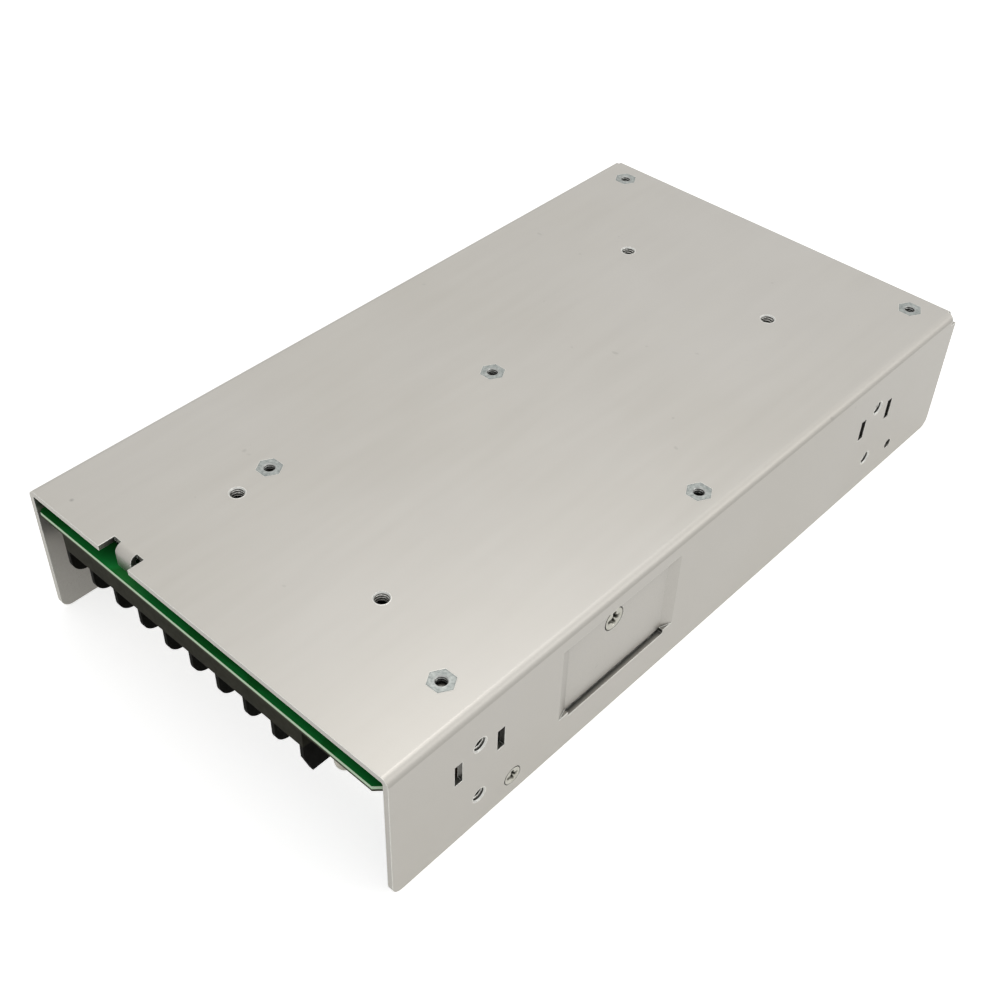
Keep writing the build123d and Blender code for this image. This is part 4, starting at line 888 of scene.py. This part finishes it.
fuseLook = {"tube": 2.4, "cap": 2.6, "shoulder": 2.5, "endFace": 2.2, "half": 10.0, "capLength": 5.0,
            "lift": 5.0, "columns": 40, "spot": (7.3, 27.4)}
half = fuseLook["half"]
step = half - fuseLook["capLength"]
cap = fuseLook["cap"]
shoulder = fuseLook["shoulder"]
capWall = [(0, half), (fuseLook["endFace"], half), (shoulder, half - 0.1), (cap, half - 0.4),
           (cap, step + 0.1), (shoulder, step)]
profile = capWall + [(fuseLook["tube"], step), (fuseLook["tube"], -step)]
profile += [(radius, -level) for radius, level in reversed(capWall)]
points, faces = lathe(np.array(profile) * mm, fuseLook["columns"])
row = np.repeat(np.arange(len(profile) - 1), fuseLook["columns"])
onTube = row == len(capWall)  # the one row of faces between the two caps
x, y, z = fromLeft(fuseLook["spot"])
points, faces = copyTo(points, faces, [((x, y, z - fuseLook["lift"] * mm), (0, 1, 0))])
addPiece("fuseTube", points, faces, [finishes["tinnedBrass"], finishes["ceramicTube"]],
         replaced=("fuse_body",), materialOf=onTube.astype(int))
print("inner parts dressed")


# Camera, floor and light


cameraLook = {
    "right": (0.72884, 0.6845, 0.01609), "down": (0.47692, -0.49067, -0.72924),
    "forward": (-0.49127, 0.53917, -0.68407), "eye": (184.192, -221.761, 266.438),
    "lens": 50.085, "sensor": 36.0, "shiftX": 0.02121, "shiftY": 0.01621,
}
camera = bpy.data.objects.new("camera", bpy.data.cameras.new("camera"))
bpy.context.collection.objects.link(camera)
bpy.context.scene.camera = camera
pose = np.identity(4)
pose[:3, 0] = cameraLook["right"]
pose[:3, 1] = -np.array(cameraLook["down"])
pose[:3, 2] = -np.array(cameraLook["forward"])
pose[:3, 3] = np.array(cameraLook["eye"]) * mm
camera.matrix_world = Matrix(pose.tolist())
camera.data.sensor_width = cameraLook["sensor"]
camera.data.lens = cameraLook["lens"]
camera.data.shift_x = cameraLook["shiftX"]
camera.data.shift_y = cameraLook["shiftY"]
camera.data.clip_start = 0.01


def seenDirectly(tree):
    # 1 for rays that look at the background: straight, by a reflection or through something clear
    path = tree.nodes.new("ShaderNodeLightPath")
    total = path.outputs["Is Camera Ray"]
    for ray in ("Is Glossy Ray", "Is Transmission Ray"):
        total = maths(tree, "MAXIMUM", total, path.outputs[ray])
    return total


lightLook = {
    "ambient": 0.5, "floorColour": (0.90, 0.90, 0.89), "floorSeen": 0.66, "floorMirrored": 0.50,
    "lamps": {
        "overhead": dict(place=(-0.30, 0.16, 1.35), size=0.8, watts=0.6, colour=(1.0, 0.99, 0.975)),
        "sheen": dict(place=(-0.16, 0.375, 1.33), size=0.55, watts=3.5, colour=(1.0, 0.99, 0.98),
                      glossOnly=True),
        "fold": dict(place=(0.45, 0.70, 1.12), size=0.7, watts=0.5, colour=(1.0, 0.99, 0.97), glossOnly=True),
        "right": dict(place=(1.05, 0.75, 0.75), size=0.8, watts=2.6, colour=(1.0, 0.99, 0.97)),
        "front": dict(place=(0.35, -1.2, 0.9), size=1.0, watts=1.35, colour=(0.98, 0.99, 1.0)),
    },
}
world = bpy.data.worlds.new("studio")
bpy.context.scene.world = world
world.use_nodes = True
worldTree = world.node_tree
background = worldTree.nodes["Background"]
background.inputs["Color"].default_value = (1, 1, 1, 1)
worldTree.links.new(spread(worldTree, seenDirectly(worldTree), lightLook["ambient"], 1.0, 0.0, 1.0),
                    background.inputs["Strength"])

floorMesh = bpy.data.meshes.new("floor")
floorMesh.from_pydata([(-4, -4, 0), (4, -4, 0), (4, 4, 0), (-4, 4, 0)], [], [(0, 1, 2, 3)])
floor = bpy.data.objects.new("floor", floorMesh)
bpy.context.collection.objects.link(floor)
floorMaterial, floorTree, floorShader = startMaterial("paleFloor")
floorShader.inputs["Base Color"].default_value = (*lightLook["floorColour"], 1)
floorShader.inputs["Roughness"].default_value = 0.8
floorShader.inputs["Specular IOR Level"].default_value = 0.1
floorShader.inputs["Emission Color"].default_value = (1, 1, 1, 1)
path = floorTree.nodes.new("ShaderNodeLightPath")
seen = maths(floorTree, "MULTIPLY", path.outputs["Is Camera Ray"], lightLook["floorSeen"])
mirrored = maths(floorTree, "MULTIPLY", path.outputs["Is Glossy Ray"], lightLook["floorMirrored"])
floorTree.links.new(maths(floorTree, "ADD", seen, mirrored), floorShader.inputs["Emission Strength"])
floorMesh.materials.append(floorMaterial)

for lampName, look in lightLook["lamps"].items():
    data = bpy.data.lights.new(lampName, "AREA")
    data.shape = "DISK"
    data.size = look["size"]
    data.energy = look["watts"]
    data.color = look["colour"]
    lamp = bpy.data.objects.new(lampName, data)
    bpy.context.collection.objects.link(lamp)
    lamp.location = look["place"]
    lamp.visible_diffuse = not look.get("glossOnly", False)
    lamp.rotation_euler = Vector(look["place"]).to_track_quat("Z", "Y").to_euler()
bpy.context.scene.view_settings.view_transform = "Standard"
print("camera, floor and light set")
